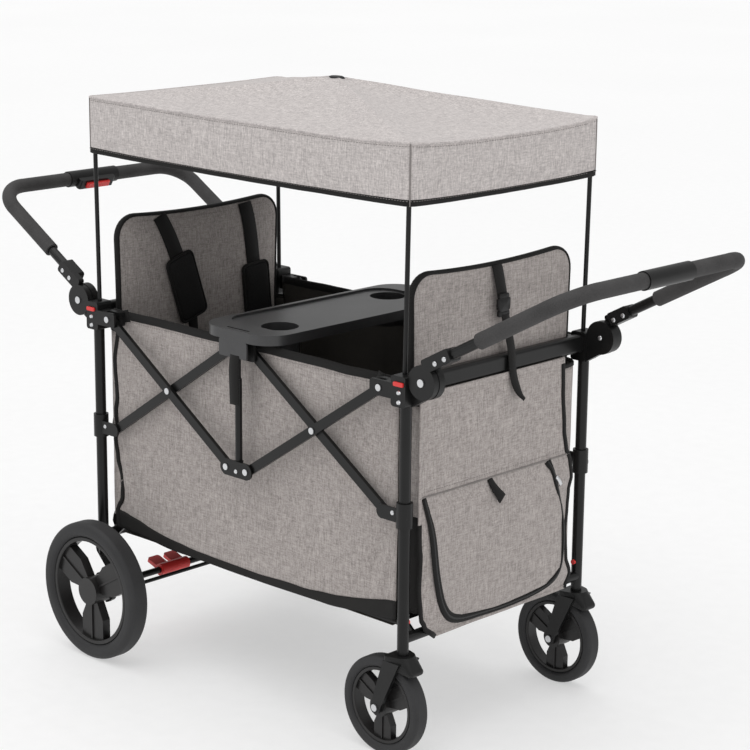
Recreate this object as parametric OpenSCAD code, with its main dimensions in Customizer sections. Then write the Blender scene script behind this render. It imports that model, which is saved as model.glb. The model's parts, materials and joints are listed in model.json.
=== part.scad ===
// Folding stroller wagon with a canopy, two handles, swivel casters and a snack tray.
// +X points to the front (caster) end, -Y to the near side, +Z up. The origin is on the floor, midway
// between the tips of the handles. Pieces are drawn at the front far corner, about a point midway between
// the posts, and mirrored to the other corners.

/* [Frame] */
// Distance between the rear and the front post axes
post_span_x = 870; // [760:5:980]
// Distance between the near and the far post axes
post_span_y = 510; // [450:5:600]
// Outside diameter of a post
post_d = 22; // [18:0.5:26]
// Wall of a post
post_wall = 1.5; // [1:0.1:3]
// Height of the lower end of a rear post
rear_post_foot_z = 195; // [190:1:215]
// Height of the lower end of a front post, on top of the caster
front_post_foot_z = 206; // [203:1:214]
// Height of the upper end of the posts, inside the castings
post_top_z = 722; // [716:1:726]
// Diameter of the lower cross tube of an end frame
cross_tube_d = 20; // [16:1:24]
// Height of the lower cross tube's axis
cross_tube_z = 236; // [230:1:240]
// Height of an end top rail
rail_h = 35; // [28:1:40]
// Thickness of an end top rail
rail_t = 22; // [18:1:26]
// Wall of an end top rail
rail_wall = 2; // [1:0.1:4]
// Height of the upper face of the end top rails
rail_top_z = 737; // [732:1:741]

/* [Castings] */
// Height of the upper face of the castings
casting_top_z = 742; // [736:1:750]
// Height of a casting
casting_h = 58; // [54:1:64]
// Casting wall on the tub side of the post
casting_wall = 9; // [6:0.5:11]
// Casting wall on the handle side of the post
casting_hub_wall = 5; // [4:0.5:9]
// Casting wall inboard of the post
casting_inner_wall = 6; // [4:0.5:8]
// Thickness of the cheek outside the link
cheek_t = 5; // [3:0.5:8]
// Length of the link lug beyond its pivot
lug_nose = 23; // [14:1:28]
// Height of the link lug
lug_h = 30; // [26:1:34]
// Length of a red lock button
button_l = 24; // [16:1:28]
// Height of a red lock button
button_h = 8; // [6:0.5:10]
// How far a lock button stands out
button_out = 3; // [2.6:0.1:4]
// Depth of a lock button's pocket
button_pocket = 8; // [7:0.5:8.5]
// Travel of a lock button
button_travel = 2.5; // [2:0.1:3]
// Depth of the lock buttons below the casting's top
button_drop = 15; // [12:1:20]
// Diameter of a rivet head
rivet_d = 9; // [6:0.5:11]
// Height of a rivet head
rivet_h = 2.5; // [1.5:0.1:3]

/* [Fold links] */
// Height of a link bar
link_h = 19; // [16:0.5:22]
// Thickness of a link bar
link_t = 8; // [6:0.5:9]
// Distance from a post axis to the link pivots
pivot_in = 50; // [46:1:56]
// Height of the upper link pivots
pivot_top_z = 712; // [708:1:716]
// Drop from the upper to the lower link pivots
pivot_drop = 237; // [200:1:250]
// Half distance between the two pivots of a middle bracket
bracket_half = 28; // [24:1:34]
// Diameter of a link pin
pin_d = 8; // [6:0.5:9]
// Diameter of a link pin's head
pin_head_d = 13; // [11:0.5:15]
// Height of a link pin's head
pin_head_h = 2; // [1:0.1:2.2]
// Washer between the inner and the outer links
washer_t = 2; // [1.5:0.1:3]
// Thickness of the bracket plates and sleeve lugs
plate_t = 4; // [3:0.5:6]
// Height of a middle bracket plate
plate_h = 33; // [28:1:38]
// Wall of a sliding sleeve
sleeve_wall = 4.2; // [3:0.1:4.6]
// Sleeve length above its pivot
sleeve_above = 26; // [18:1:34]
// Sleeve length below its pivot
sleeve_below = 22; // [18:1:26]
// Height of a sleeve's lug
sleeve_lug_h = 27; // [24:1:32]
// Diameter of the telescoping centre tube
centre_tube_d = 14; // [12.5:0.5:16]
// Diameter of the rod in the centre tube
centre_rod_d = 10; // [8:0.5:10.5]
// Length of the centre tube
centre_tube_l = 198; // [170:1:205]
// Length of the centre rod below the upper pivots
centre_rod_l = 226; // [200:1:230]

/* [Rear wheels] */
// Diameter of a rear wheel
rear_wheel_d = 292; // [260:2:300]
// Width of a rear tyre
rear_tyre_w = 47; // [34:1:50]
// Diameter of the rear rim under the tyre
rear_rim_d = 230; // [190:2:236]
// Depth of the rear rim ring
rear_rim_t = 9; // [6:0.5:14]
// Width of the rear rim ring
rear_rim_w = 34; // [24:1:38]
// Diameter of a rear hub
rear_hub_d = 58; // [48:1:70]
// Width of a rear hub
rear_hub_w = 44; // [42:1:56]
// Distance the rear axle sits ahead of the rear posts
axle_ahead = 60; // [18:1:66]
// Diameter of the rear axle
axle_d = 14; // [10:0.5:16]
// Thickness of an axle bracket
axle_bracket_t = 16; // [14:1:18]
// Diameter of the axle bracket's round ends
axle_bracket_d = 34; // [30:1:40]

/* [Front wheels] */
// Diameter of a front wheel
front_wheel_d = 192; // [180:2:194]
// Width of a front tyre
front_tyre_w = 35; // [28:1:38]
// Diameter of the front rim under the tyre
front_rim_d = 150; // [126:2:158]
// Depth of the front rim ring
front_rim_t = 7; // [5:0.5:10]
// Width of the front rim ring
front_rim_w = 27; // [20:1:30]
// Diameter of a front hub
front_hub_d = 42; // [34:1:50]
// Width of a front hub
front_hub_w = 40; // [36:1:44]
// Distance the front wheel trails behind its swivel axis
caster_trail = 43; // [34:1:50]
// Diameter of the caster stem
stem_d = 12; // [10:0.5:13]
// Length of the caster stem in the post
stem_l = 48; // [40:1:50]
// Thickness of a fork leg
fork_leg_t = 8; // [6:0.5:10]
// Width of a fork leg at the wheel bolt
fork_leg_w = 25; // [20:1:30]
// Width of a fork leg at the crown
fork_top_w = 48; // [40:1:54]
// Thickness of the fork crown
crown_t = 20; // [16:0.5:20]
// Diameter of the fork crown round the swivel axis
crown_d = 46; // [40:1:54]
// Diameter of the wheel bolt
bolt_d = 8; // [6:0.5:10]
// Diameter of the wheel bolt's head
bolt_head_d = 14; // [12:0.5:18]
// Height of the wheel bolt's head
bolt_head_h = 3; // [2:0.5:5]
// Diameter of a caster release button
caster_button_d = 10; // [7:0.5:10]
// Height of the caster release buttons above the post's foot
caster_button_rise = 61; // [58:1:64]

/* [Brake] */
// Diameter of the brake bar
brake_bar_d = 8; // [6:0.5:9]
// Distance of the released brake bar from the axle
brake_bar_off = 38; // [38:0.5:44]
// Travel of the brake bar into the hub notches
brake_travel = 8; // [6:0.5:8]
// Diameter of the notched brake ring on a hub
brake_ring_d = 66; // [60:1:66]
// Width of the notched brake ring
brake_ring_w = 11; // [8:0.5:14]
// Number of notches
brake_notches = 12; // [12:12:24]
// Width of the brake pedal
pedal_w = 76; // [60:1:120]
// Distance of the pedal's middle from the wagon's middle
pedal_off = 115; // [60:1:130]
// Length of a pedal lobe from the axle
pedal_l = 44; // [34:1:60]
// Thickness of a pedal lobe
pedal_t = 8; // [6:0.5:10]
// Diameter of the pedal's sleeve
pedal_sleeve_d = 26; // [22:1:30]
// Rest angle of the pedal lobes above level
pedal_angle = 18; // [5:1:30]

/* [Handles] */
// Diameter of a handle hub
hub_d = 64; // [54:1:72]
// Thickness of a handle hub's disc
hub_t = 13; // [10:0.5:16]
// Height of the handle hub axis
hub_z = 737; // [730:1:745]
// Diameter of the hub's pivot bolt
hub_bolt_d = 10; // [8:0.5:14]
// Diameter of the fixed drum behind the disc
drum_d = 66; // [56:1:70]
// Length of the hub arm from its axis
hub_arm_l = 86; // [80:1:110]
// Width of the hub arm
hub_arm_w = 26; // [24:1:36]
// Height of the hub arm's line above the hub axis
hub_arm_off = 24.5; // [16:0.5:26]
// Start of the tube socket along the hub arm
socket_from = 36; // [34:1:48]
// Diameter of the handle tube
handle_tube_d = 20; // [16:0.5:24]
// Diameter of the foam grip
grip_d = 30; // [26:1:34]
// Corner radius of the handle tube
handle_bend = 66; // [40:1:80]
// Length of the rear handle's arm, from beside its hub axis to the crossbar
rear_reach = 345; // [280:1:400]
// Start of the rear foam grip along the arm
rear_grip_from = 134; // [100:1:180]
// Angle of the rear handle's arm above level
rear_arm_angle = 30.5; // [20:0.5:60]
// Length of the front handle's arm, from beside its hub axis to the crossbar
front_reach = 387; // [280:1:440]
// Start of the front foam grip along the arm
front_grip_from = 155; // [100:1:200]
// Angle of the front handle's arm above level
front_arm_angle = 28.5; // [20:0.5:60]
// Length of the trigger housing
housing_l = 132; // [100:1:170]
// Diameter of the trigger housing
housing_d = 35; // [32:0.5:40]
// Reach of the housing's nose towards the hubs
housing_nose = 25; // [22:0.5:28]
// Length of the trigger
trigger_l = 62; // [44:1:76]
// Height of the trigger
trigger_h = 12; // [8:0.5:14]
// Travel of the trigger
trigger_travel = 6; // [4:0.5:7]
// How far the trigger stands out of the housing
trigger_out = 6.5; // [6:0.5:10]

/* [Canopy] */
// Diameter of a canopy pole
pole_d = 9; // [7:0.5:12]
// Distance from the post axis to the pole's foot, towards the tub
pole_foot_in = 3.5; // [0:0.5:4]
// Outward lean of a pole over its height
pole_lean = 5.5; // [0:0.5:10]
// Depth of a pole below the casting's upper face
pole_depth = 52; // [40:1:60]
// Height of the canopy's hem
canopy_hem_z = 1046; // [980:1:1080]
// Height of the canopy's upper edge
canopy_edge_z = 1162; // [1120:1:1200]
// Height of the canopy's peak
canopy_peak_z = 1222; // [1205:1:1260]
// Thickness of the canopy cloth
canopy_wall = 2.5; // [2:0.1:4]
// Radius of the canopy's corners
canopy_corner_r = 16; // [12:1:40]
// Sag of the canopy between its corners
canopy_sag = 7; // [0:0.5:14]
// Length of the vent cap
vent_l = 36; // [24:1:60]
// Height of the vent cap
vent_h = 7; // [4:0.5:10]

/* [Backrests] */
// Height of a backrest's lower edge
backrest_foot_z = 400; // [360:5:440]
// Height of a backrest's upper edge
backrest_top_z = 921; // [860:1:940]
// Thickness of a backrest at its rim
backrest_t = 20; // [14:1:26]
// Crown of a backrest
backrest_crown = 9; // [4:0.5:14]
// Radius of a backrest's corners
backrest_corner_r = 52; // [30:1:80]
// Dip of a backrest's upper edge
backrest_dip = 7; // [0:0.5:16]
// Draw-in of a backrest's sides
backrest_draw = 5; // [0:0.5:10]
// Width of a shoulder pad
shoulder_pad_w = 74; // [50:1:80]
// Length of a shoulder pad
shoulder_pad_l = 145; // [110:1:180]
// Thickness of a shoulder pad
shoulder_pad_t = 17; // [12:1:22]
// Distance of the near shoulder pad's middle from the wagon's middle
near_pad_y = 58; // [40:1:120]
// Height of the near shoulder pad's middle
near_pad_z = 750; // [720:1:780]
// Slant of the near shoulder pad
near_pad_slant = 18; // [0:1:30]
// Distance of the far shoulder pad's middle from the wagon's middle
far_pad_y = 147; // [60:1:160]
// Height of the far shoulder pad's middle
far_pad_z = 703; // [690:1:780]
// Slant of the far shoulder pad
far_pad_slant = 5; // [0:1:30]

/* [Fabric] */
// Thickness of a side or end panel
panel_t = 4; // [3:0.5:4.5]
// Height of the tub's rim
rim_z = 726; // [720:1:735]
// Height of a side panel's lower edge
side_foot_z = 248; // [240:1:256]
// Height of an end panel's lower edge
end_foot_z = 226; // [222:1:232]
// Depth of the folds in a side panel
side_fold = 3; // [0:0.5:3]
// Distance between the folds in a side panel
side_fold_pitch = 118; // [80:1:160]
// Distance from a post to the edge of an end panel
end_side_gap = 13; // [10:1:20]
// Height of the front pocket's upper seam
pocket_top_z = 500; // [440:5:540]
// Bulge of the front pocket
pocket_t = 16; // [8:1:18]
// Distance from the panel's edge to the pocket's edge
pocket_margin = 8; // [4:1:20]

/* [Floor] */
// Height of the floor hinges
floor_z = 262; // [258:1:266]
// Distance from a post axis to its floor hinge
floor_pivot_in = 30; // [28:1:34]
// Height of a floor rail
floor_rail_h = 20; // [16:1:22]
// Thickness of a floor rail
floor_rail_t = 7; // [5:0.5:8]
// Diameter of a floor hinge pin
floor_pin_d = 8; // [6:0.5:10]
// Thickness of a floor hinge lug
floor_lug_t = 6; // [4:0.5:8]
// Diameter of the cross bars under a floor board
floor_bar_d = 12; // [10:1:14]
// Thickness of a floor board
floor_board_t = 10; // [6:1:14]
// Gap between a floor board and the wagon's middle
floor_mid_gap = 50; // [48:1:60]
// Gap between a floor board and its hinge
floor_end_gap = 12; // [10:1:20]

/* [Tray] */
// Width of the tray
tray_w = 204; // [160:2:220]
// Thickness of the tray
tray_t = 20; // [14:1:24]
// Height of the tray's lower face above the upper pivots
tray_rise = 23; // [18:1:30]
// Radius of the tray's corners
tray_corner_r = 56; // [30:1:58]
// Depth of the tray's shallow recess
tray_recess = 4; // [2:0.5:8]
// Width of the tray's border round the recess
tray_border = 10; // [6:1:16]
// Diameter of a cup holder
cup_d = 74; // [60:1:80]
// Depth of a cup holder
cup_depth = 58; // [40:1:70]
// Wall of a cup holder
cup_wall = 2.5; // [2:0.1:4]
// Width of a cup holder's lip on the tray
cup_lip_w = 3; // [2:0.5:6]
// Height of a cup holder's lip above the tray's recess
cup_lip_h = 1.5; // [1:0.1:3]
// Offset of a cup holder along the wagon
cup_x = 25; // [0:1:30]
// Offset of a cup holder across the wagon
cup_y = 178; // [120:1:190]
// Width of a clip skirt
skirt_w = 78; // [60:1:84]
// Drop of a clip skirt below the tray
skirt_drop = 34; // [20:1:40]
// Thickness of a clip skirt
skirt_t = 4; // [3:0.5:6]

/* [Hidden] */
$fn = 48;

// Colours
steel_colour = "#2e2f31";
plastic_colour = "#26272a";
rivet_colour = "#d9dadb";
red_colour = "#d8262a";
cloth_colour = "#a59c97";
dark_cloth_colour = "#1c1c1d";
tyre_colour = "#222326";

// Clearances
// Radial clearance of a pin or shaft that turns
run_gap = 0.05;
// Radial clearance of a sleeve that slides on a post
slide_gap = 0.3;
// Clearance between faces that pass or seat
face_gap = 0.3;
// Clearance between neighbouring layers of links
layer_gap = 1;
// Clearance round a button or trigger
button_gap = 0.2;
// Overrun of a cut
cut = 1;

// Frame places
half_x = post_span_x / 2;
half_y = post_span_y / 2;
post_r = post_d / 2;
casting_z0 = casting_top_z - casting_h;
casting_mid_z = casting_top_z - casting_h / 2;
button_z = casting_top_z - button_drop;
casting_r = casting_inner_wall;
casting_x0 = half_x - post_r - casting_wall;
casting_x1 = half_x + post_r + casting_hub_wall;
casting_y0 = half_y - post_r - casting_inner_wall;

// Layers across the wagon, counted outwards from its middle
inner_y0 = half_y - link_t / 2;
inner_y1 = half_y + link_t / 2;
outer_y0 = inner_y1 + washer_t;
outer_y1 = outer_y0 + link_t;
upper_plate_y0 = inner_y1 + layer_gap;
upper_plate_y1 = upper_plate_y0 + plate_t;
lower_plate_y0 = outer_y1 + layer_gap;
lower_plate_y1 = lower_plate_y0 + plate_t;
cheek_y0 = outer_y1 + layer_gap;
casting_y1 = cheek_y0 + cheek_t;
lug_y0 = inner_y0 - cheek_t;
side_y1 = half_y - post_r - 2 * face_gap;
side_y0 = side_y1 - panel_t;

// Link places
pivot_x = half_x - pivot_in;
pivot_low_z = pivot_top_z - pivot_drop;
upper_pivot = [pivot_x, pivot_top_z];
sleeve_pivot = [pivot_x, pivot_low_z];
low_bracket_pivot = [bracket_half, pivot_low_z];
high_bracket_pivot = [bracket_half, pivot_top_z];
crossing = (upper_pivot + low_bracket_pivot) / 2;
pin_bore = pin_d + 2 * run_gap;
sleeve_d = post_d + 2 * slide_gap + 2 * sleeve_wall;
centre_y = (outer_y0 + outer_y1) / 2;

// Handle places
hub_x = casting_x1 + layer_gap + hub_d / 2;
hub_y0 = half_y + layer_gap;
hub_y1 = hub_y0 + hub_t;
drum_y1 = hub_y0 - face_gap;
drum_y0 = 2 * half_y - hub_y1;
hub_bolt_head_d = hub_bolt_d + hub_bolt_d / 2;
tube_from = socket_from + handle_tube_d / 2;
bend_lap = 1;
bend_swell = 0.2;
crossbar_y = half_y - handle_bend + bend_lap;
housing_half = housing_l / 2;
arm_from = hub_d / 4;
function handle_out(reach, angle) = reach * cos(angle) - hub_arm_off * sin(angle);
rear_out = handle_out(rear_reach, rear_arm_angle);
front_out = handle_out(front_reach, front_arm_angle);
// The origin lies midway between the tips of the two handles
origin_x = (rear_out - front_out) / 2;

// Rear wheel places
axle_x = half_x - axle_ahead;
rear_wheel_r = rear_wheel_d / 2;
bracket_y0 = half_y - axle_bracket_t / 2;
bracket_y1 = half_y + axle_bracket_t / 2;
brake_ring_gap = 32;
brake_ring_y0 = bracket_y1 + brake_ring_gap;
rear_wheel_y = brake_ring_y0 + brake_ring_w + rear_hub_w / 2;
hub_cap_t = 7;
axle_end_y = rear_wheel_y + rear_hub_w / 2 - hub_cap_t;
brake_bar_x = axle_x - brake_bar_off;
brake_bar_y = brake_ring_y0 + brake_ring_w - layer_gap;
brake_slot_d = brake_bar_d + 2 * face_gap;
brake_eye_d = brake_bar_d + axle_bracket_t;

// Shares of a spoke in its hub and rim sizes
spoke_root_share = 0.4;
spoke_tip_share = 0.6;
spoke_flare_share = 0.42;
spoke_in_share = 0.26;
spoke_out_share = 0.145;
spoke_rib_share = 0.4;
spoke_plate_share = 0.56;
spoke_depth_share = 0.74;
tyre_round_share = 0.4;
pedal_lobe_share = 0.42;

// Front wheel places
front_wheel_r = front_wheel_d / 2;
caster_x = half_x - caster_trail;
leg_y0 = front_hub_w / 2 + 2 * face_gap;
leg_y1 = leg_y0 + fork_leg_t;
crown_z1 = front_post_foot_z - face_gap;
crown_z0 = crown_z1 - crown_t;
wheel_room = 3;
caster_button_z = front_post_foot_z + caster_button_rise;
caster_button_l = 8;
caster_button_out = 3;
caster_button_travel = 2;
caster_pocket = caster_button_l + button_gap;
post_plug_l = caster_button_rise + caster_button_d + post_wall;

// Floor places
front_rail_y1 = side_y0 - 2 * face_gap;
front_rail_y0 = front_rail_y1 - floor_rail_t;
rear_rail_y1 = front_rail_y0 - 2 * face_gap;
rear_rail_y0 = rear_rail_y1 - floor_rail_t;
floor_pivot_x = half_x - floor_pivot_in;
board_half_y = rear_rail_y0 - layer_gap;
board_z0 = floor_z + floor_bar_d / 2 + face_gap;
floor_bar_shares = [0.12, 0.5, 0.8];

// Tray places
tray_z0 = pivot_top_z + tray_rise;
tray_z1 = tray_z0 + tray_t;
skirt_y1 = lower_plate_y1 + pin_head_h + skirt_t;
tray_half_y = skirt_y1;
cup_out = cup_d + 2 * cup_wall;
slot_w = 5;
slot_share = 0.8;
slot_round_share = 0.4;

// Steps of the soft forms
arc_steps = 4;
edge_steps = 6;
side_steps = 36;
side_rows = 6;
cap_rings = 3;

// Canopy places
pole_x = half_x - pole_foot_in;
pole_bore = pole_d + 2 * run_gap;
pole_foot_z = casting_top_z - pole_depth;
pole_bend_z = casting_top_z + pole_d / 2;
pole_top_x = pole_x + pole_lean;
pole_top_z = canopy_edge_z - canopy_wall - pole_d / 2;
// The canopy's corners close round the poles, clear of them on the flats of the rounding
canopy_corner_in = (canopy_corner_r - canopy_wall) * cos(45 / arc_steps);
canopy_stand = canopy_corner_r - (canopy_corner_in - pole_d / 2 - face_gap) / sqrt(2);
canopy_half_x = pole_top_x + canopy_stand;
canopy_half_y = half_y + canopy_stand;
canopy_rise = canopy_peak_z - canopy_edge_z;
canopy_ring_shares = [1, 0.985, 0.86, 0.7, 0.52, 0.34, 0.18, 0.05];
canopy_curve = 1.12;

// Backrest places
// Middle and slant of each shoulder pad
shoulder_pads = [[-near_pad_y, near_pad_z, near_pad_slant], [far_pad_y, far_pad_z, far_pad_slant]];
backrest_x = half_x - rail_t / 2 - face_gap;
backrest_side_gap = 8;
backrest_half_y = casting_y0 - backrest_side_gap;
backrest_half_z = (backrest_top_z - backrest_foot_z) / 2;
backrest_mid_z = (backrest_top_z + backrest_foot_z) / 2;

// End panel places
end_panel_x = half_x + cross_tube_d / 2 + face_gap;
end_half_y = half_y - post_r - end_side_gap;
end_top_z = rail_top_z - rail_h - face_gap;

module both_sides() {
    children();
    mirror([0, 1, 0]) children();
}

module at_front() {
    translate([origin_x, 0, 0]) children();
}

module at_rear() {
    translate([origin_x, 0, 0]) mirror([1, 0, 0]) children();
}

module at_near() {
    mirror([0, 1, 0]) children();
}

// Outline drawn in X and Z, as thick as y0 to y1
module slab(y0, y1) {
    translate([0, y1, 0]) rotate([90, 0, 0]) linear_extrude(y1 - y0) children();
}

// Round bar along Y through a point in X and Z
module rod_y(p, y0, y1, d) {
    translate([p[0], y1, p[1]]) rotate([90, 0, 0]) cylinder(d = d, h = y1 - y0);
}

// Round bar between two points
module rod(p, q, d) {
    v = q - p;
    translate(p) rotate([0, acos(v[2] / norm(v)), atan2(v[1], v[0])]) cylinder(d = d, h = norm(v));
}

// Bar outline between two points, with round ends a little wider than the bar
module stadium(p, q, d) {
    translate(p) rotate(atan2(q[1] - p[1], q[0] - p[0])) translate([0, bend_swell - d / 2])
        square([norm(q - p), d - 2 * bend_swell]);
    translate(p) circle(d = d);
    translate(q) circle(d = d);
}

// Rectangle with round corners, centred
module round_rect(w, h, r) {
    square([w - 2 * r, h], center = true);
    square([w, h - 2 * r], center = true);
    for (x = [-1, 1], y = [-1, 1]) translate([x * (w / 2 - r), y * (h / 2 - r)]) circle(r = r);
}

// Rivet head on a face that looks outwards along Y
module rivet(p, y) {
    translate([p[0], y, p[1]]) rotate([-90, 0, 0])
        cylinder(d1 = rivet_d, d2 = rivet_d - rivet_h, h = rivet_h);
}

// Points of a ring with round corners, anticlockwise from the +X +Y corner
function ring_corner(k, hx, hy, r) = [(k == 0 || k == 3 ? 1 : -1) * (hx - r), (k < 2 ? 1 : -1) * (hy - r)];
function ring_arc(k, i, hx, hy, r) =
    let (a = 90 * (k + i / arc_steps)) ring_corner(k, hx, hy, r) + r * [cos(a), sin(a)];
function ring_edge(k, j, hx, hy, r) =
    let (p = ring_arc(k, arc_steps, hx, hy, r), q = ring_arc((k + 1) % 4, 0, hx, hy, r))
    p + (q - p) * j / edge_steps;
function round_ring(hx, hy, r) = [for (k = [0:3]) each concat(
    [for (i = [0:arc_steps]) ring_arc(k, i, hx, hy, r)],
    [for (j = [1:edge_steps - 1]) ring_edge(k, j, hx, hy, r)])];
function middle(ring) = [for (k = [0:2]) [for (p = ring) p[k]] * [for (p = ring) 1] / len(ring)];

// Closed skin over a stack of rings with as many points each
module loft(rings) {
    n = len(rings[0]);
    m = len(rings);
    low = n * m;
    high = low + 1;
    sides = [for (k = [0:m - 2], i = [0:n - 1]) let (a = k * n, b = a + n, j = (i + 1) % n)
        each [[a + i, b + i, b + j], [a + i, b + j, a + j]]];
    caps = [for (i = [0:n - 1]) let (j = (i + 1) % n, b = n * (m - 1))
        each [[i, j, low], [b + j, b + i, high]]];
    points = concat([for (r = rings) each r], [middle(rings[0]), middle(rings[m - 1])]);
    polyhedron(points, concat(sides, caps));
}

// Crowned pad lying in X and Y, flat at the back, with drawn-in sides and a dip in its +Y edge
function pad_point(p, hx, hy, draw, dip, z) = [
    p[0] - sign(p[0]) * draw * cos(90 * p[1] / hy),
    p[1] - (p[1] > 0 ? dip * cos(90 * p[0] / hx) * p[1] / hy : 0),
    z];
function pad_ring(hx, hy, r, draw, dip, share, inset, z) =
    [for (p = round_ring(hx - inset, hy - inset, r)) pad_point(p * share, hx, hy, draw, dip, z)];
function pad_rings(hx, hy, r, t, crown, draw, dip) = concat(
    [pad_ring(hx, hy, r, draw, dip, 1, t / 4, 0), pad_ring(hx, hy, r, draw, dip, 1, 0, t / 3),
     pad_ring(hx, hy, r, draw, dip, 1, 0, t / 2), pad_ring(hx, hy, r, draw, dip, 1, t / 4, t)],
    [for (k = [1:cap_rings]) let (s = 1 - k / (cap_rings + 1))
        pad_ring(hx, hy, r, draw, dip, s, t / 4, t + crown * (1 - s * s))]);

// End frames
module posts(foot_z) {
    both_sides() translate([half_x, half_y, foot_z]) cylinder(d = post_d, h = post_top_z - foot_z);
}

module post_bores(from_z) {
    both_sides() translate([half_x, half_y, from_z])
        cylinder(d = post_d - 2 * post_wall, h = post_top_z + cut - from_z);
}

module floor_lug(rail_y0) {
    y1 = rail_y0 - face_gap;
    slab(y1 - floor_lug_t, y1) stadium([half_x, cross_tube_z], [floor_pivot_x, floor_z], floor_rail_h);
    rod_y([floor_pivot_x, floor_z], y1 - floor_lug_t / 2, rail_y0 + floor_rail_t, floor_pin_d);
}

module end_frame(foot_z, hollow_z, rail_y0) {
    difference() {
        union() {
            posts(foot_z);
            rod_y([half_x, cross_tube_z], -half_y, half_y, cross_tube_d);
            both_sides() floor_lug(rail_y0);
        }
        post_bores(hollow_z);
    }
}

module rear_end_frame() {
    color(steel_colour) at_rear() end_frame(rear_post_foot_z, rear_post_foot_z - cut, rear_rail_y0);
}

module front_end_frame() {
    color(steel_colour) at_front() difference() {
        end_frame(front_post_foot_z, front_post_foot_z + post_plug_l, front_rail_y0);
        both_sides() translate([half_x, half_y, front_post_foot_z - cut])
            cylinder(d = stem_d + 2 * run_gap, h = stem_l + 2 * cut);
        both_sides() rod_y([half_x, caster_button_z], half_y - post_r - cut, half_y - post_r + caster_pocket,
            caster_button_d + 2 * button_gap);
    }
}

module top_rail() {
    slab(-casting_y0, casting_y0) translate([half_x, rail_top_z - rail_h / 2]) difference() {
        round_rect(rail_t, rail_h, rail_t / 3);
        round_rect(rail_t - 2 * rail_wall, rail_h - 2 * rail_wall, rail_t / 3 - rail_wall);
    }
}

module rear_top_rail() {
    color(steel_colour) at_rear() top_rail();
}

module front_top_rail() {
    color(steel_colour) at_front() top_rail();
}

// Corner casting with the post socket, link clevis, handle drum, pole socket and button pocket
module casting_block() {
    slab(casting_y0, casting_y1) translate([(casting_x0 + casting_x1) / 2, casting_mid_z])
        round_rect(casting_x1 - casting_x0, casting_h, casting_r);
}

module casting_lug() {
    lug_l = half_x - pivot_x + lug_nose;
    slab(lug_y0, casting_y1) translate([half_x - lug_l / 2, pivot_top_z]) round_rect(lug_l, lug_h, casting_r);
}

module casting_drum() {
    slab(drum_y0, drum_y1) {
        translate([hub_x, hub_z]) circle(d = drum_d);
        polygon([[half_x, casting_z0], [casting_x1, casting_z0], [hub_x, hub_z - drum_d / 2], [hub_x, hub_z],
            [casting_x1, casting_top_z - casting_r], [half_x, casting_top_z - casting_r]]);
    }
    rod_y([hub_x, hub_z], drum_y1 - cut, hub_y1 + face_gap, hub_bolt_d);
    rod_y([hub_x, hub_z], hub_y1 + face_gap, hub_y1 + face_gap + rivet_h, hub_bolt_head_d);
}

module link_slot() {
    reach = link_h / 2 + layer_gap;
    slab(outer_y0 - layer_gap, outer_y1 + layer_gap)
        translate([pivot_x - lug_nose - cut, pivot_top_z - lug_h])
        square([lug_nose + cut + reach, 2 * lug_h]);
}

module casting() {
    difference() {
        union() {
            casting_block();
            casting_lug();
            casting_drum();
        }
        link_slot();
        rod_y(upper_pivot, lug_y0 - cut, casting_y1 + cut, pin_bore);
        translate([half_x, half_y, casting_z0 - cut])
            cylinder(d = post_d + 2 * run_gap, h = post_top_z - casting_z0 + cut + face_gap);
        translate([pole_x, half_y, post_top_z]) cylinder(d = pole_bore, h = casting_top_z - post_top_z + cut);
        slab(casting_y1 - button_pocket, casting_y1 + cut) translate([half_x, button_z])
            round_rect(button_l + 2 * button_gap, button_h + 2 * button_gap, button_h / 3);
    }
}

module rear_castings() {
    color(plastic_colour) at_rear() both_sides() casting();
}

module front_castings() {
    color(plastic_colour) at_front() both_sides() casting();
}

module lock_button() {
    y0 = casting_y1 - button_pocket + button_travel + button_gap;
    slab(y0, casting_y1 + button_out) translate([half_x, button_z])
        round_rect(button_l, button_h, button_h / 3);
}

module rear_button_near() {
    color(red_colour) at_rear() at_near() lock_button();
}

module rear_button_far() {
    color(red_colour) at_rear() lock_button();
}

module front_button_near() {
    color(red_colour) at_front() at_near() lock_button();
}

module front_button_far() {
    color(red_colour) at_front() lock_button();
}

module corner_rivets() {
    for (k = [1, 2]) rivet([half_x, casting_z0 + rivet_d * (2 * k - 1)], casting_y1);
}

module rear_rivets() {
    color(rivet_colour) at_rear() both_sides() corner_rivets();
}

module front_rivets() {
    color(rivet_colour) at_front() both_sides() corner_rivets();
}

// Scissor links: the outer pair hangs from the castings, the inner pair runs on the sleeves
module link_bar(p, q, y0) {
    slab(y0, y0 + link_t) difference() {
        stadium(p, q, link_h);
        for (c = [p, (p + q) / 2, q]) translate(c) circle(d = pin_bore);
    }
}

module outer_links() {
    both_sides() link_bar(upper_pivot, low_bracket_pivot, outer_y0);
}

module inner_links() {
    both_sides() link_bar(sleeve_pivot, high_bracket_pivot, inner_y0);
}

module rear_drop_links() {
    color(steel_colour) at_rear() outer_links();
}

module front_rise_links() {
    color(steel_colour) at_front() outer_links();
}

module rear_rise_links() {
    color(steel_colour) at_rear() inner_links();
}

module front_drop_links() {
    color(steel_colour) at_front() inner_links();
}

// Pin along Y with a head at each end
module pin(p, y0, y1) {
    rod_y(p, y0, y1, pin_d);
    rod_y(p, y0 - pin_head_h, y0, pin_head_d);
    rod_y(p, y1, y1 + pin_head_h, pin_head_d);
}

module link_pins() {
    both_sides() {
        pin(upper_pivot, lug_y0 - face_gap, casting_y1 + face_gap);
        pin(crossing, inner_y0 - face_gap, outer_y1 + face_gap);
        rod_y(crossing, inner_y1 + face_gap, outer_y0 - face_gap, pin_head_d);
        pin(low_bracket_pivot, outer_y0 - face_gap, lower_plate_y1 + face_gap);
    }
}

module rear_link_pins() {
    color(rivet_colour) at_rear() link_pins();
}

module front_link_pins() {
    color(rivet_colour) at_front() link_pins();
}

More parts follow.
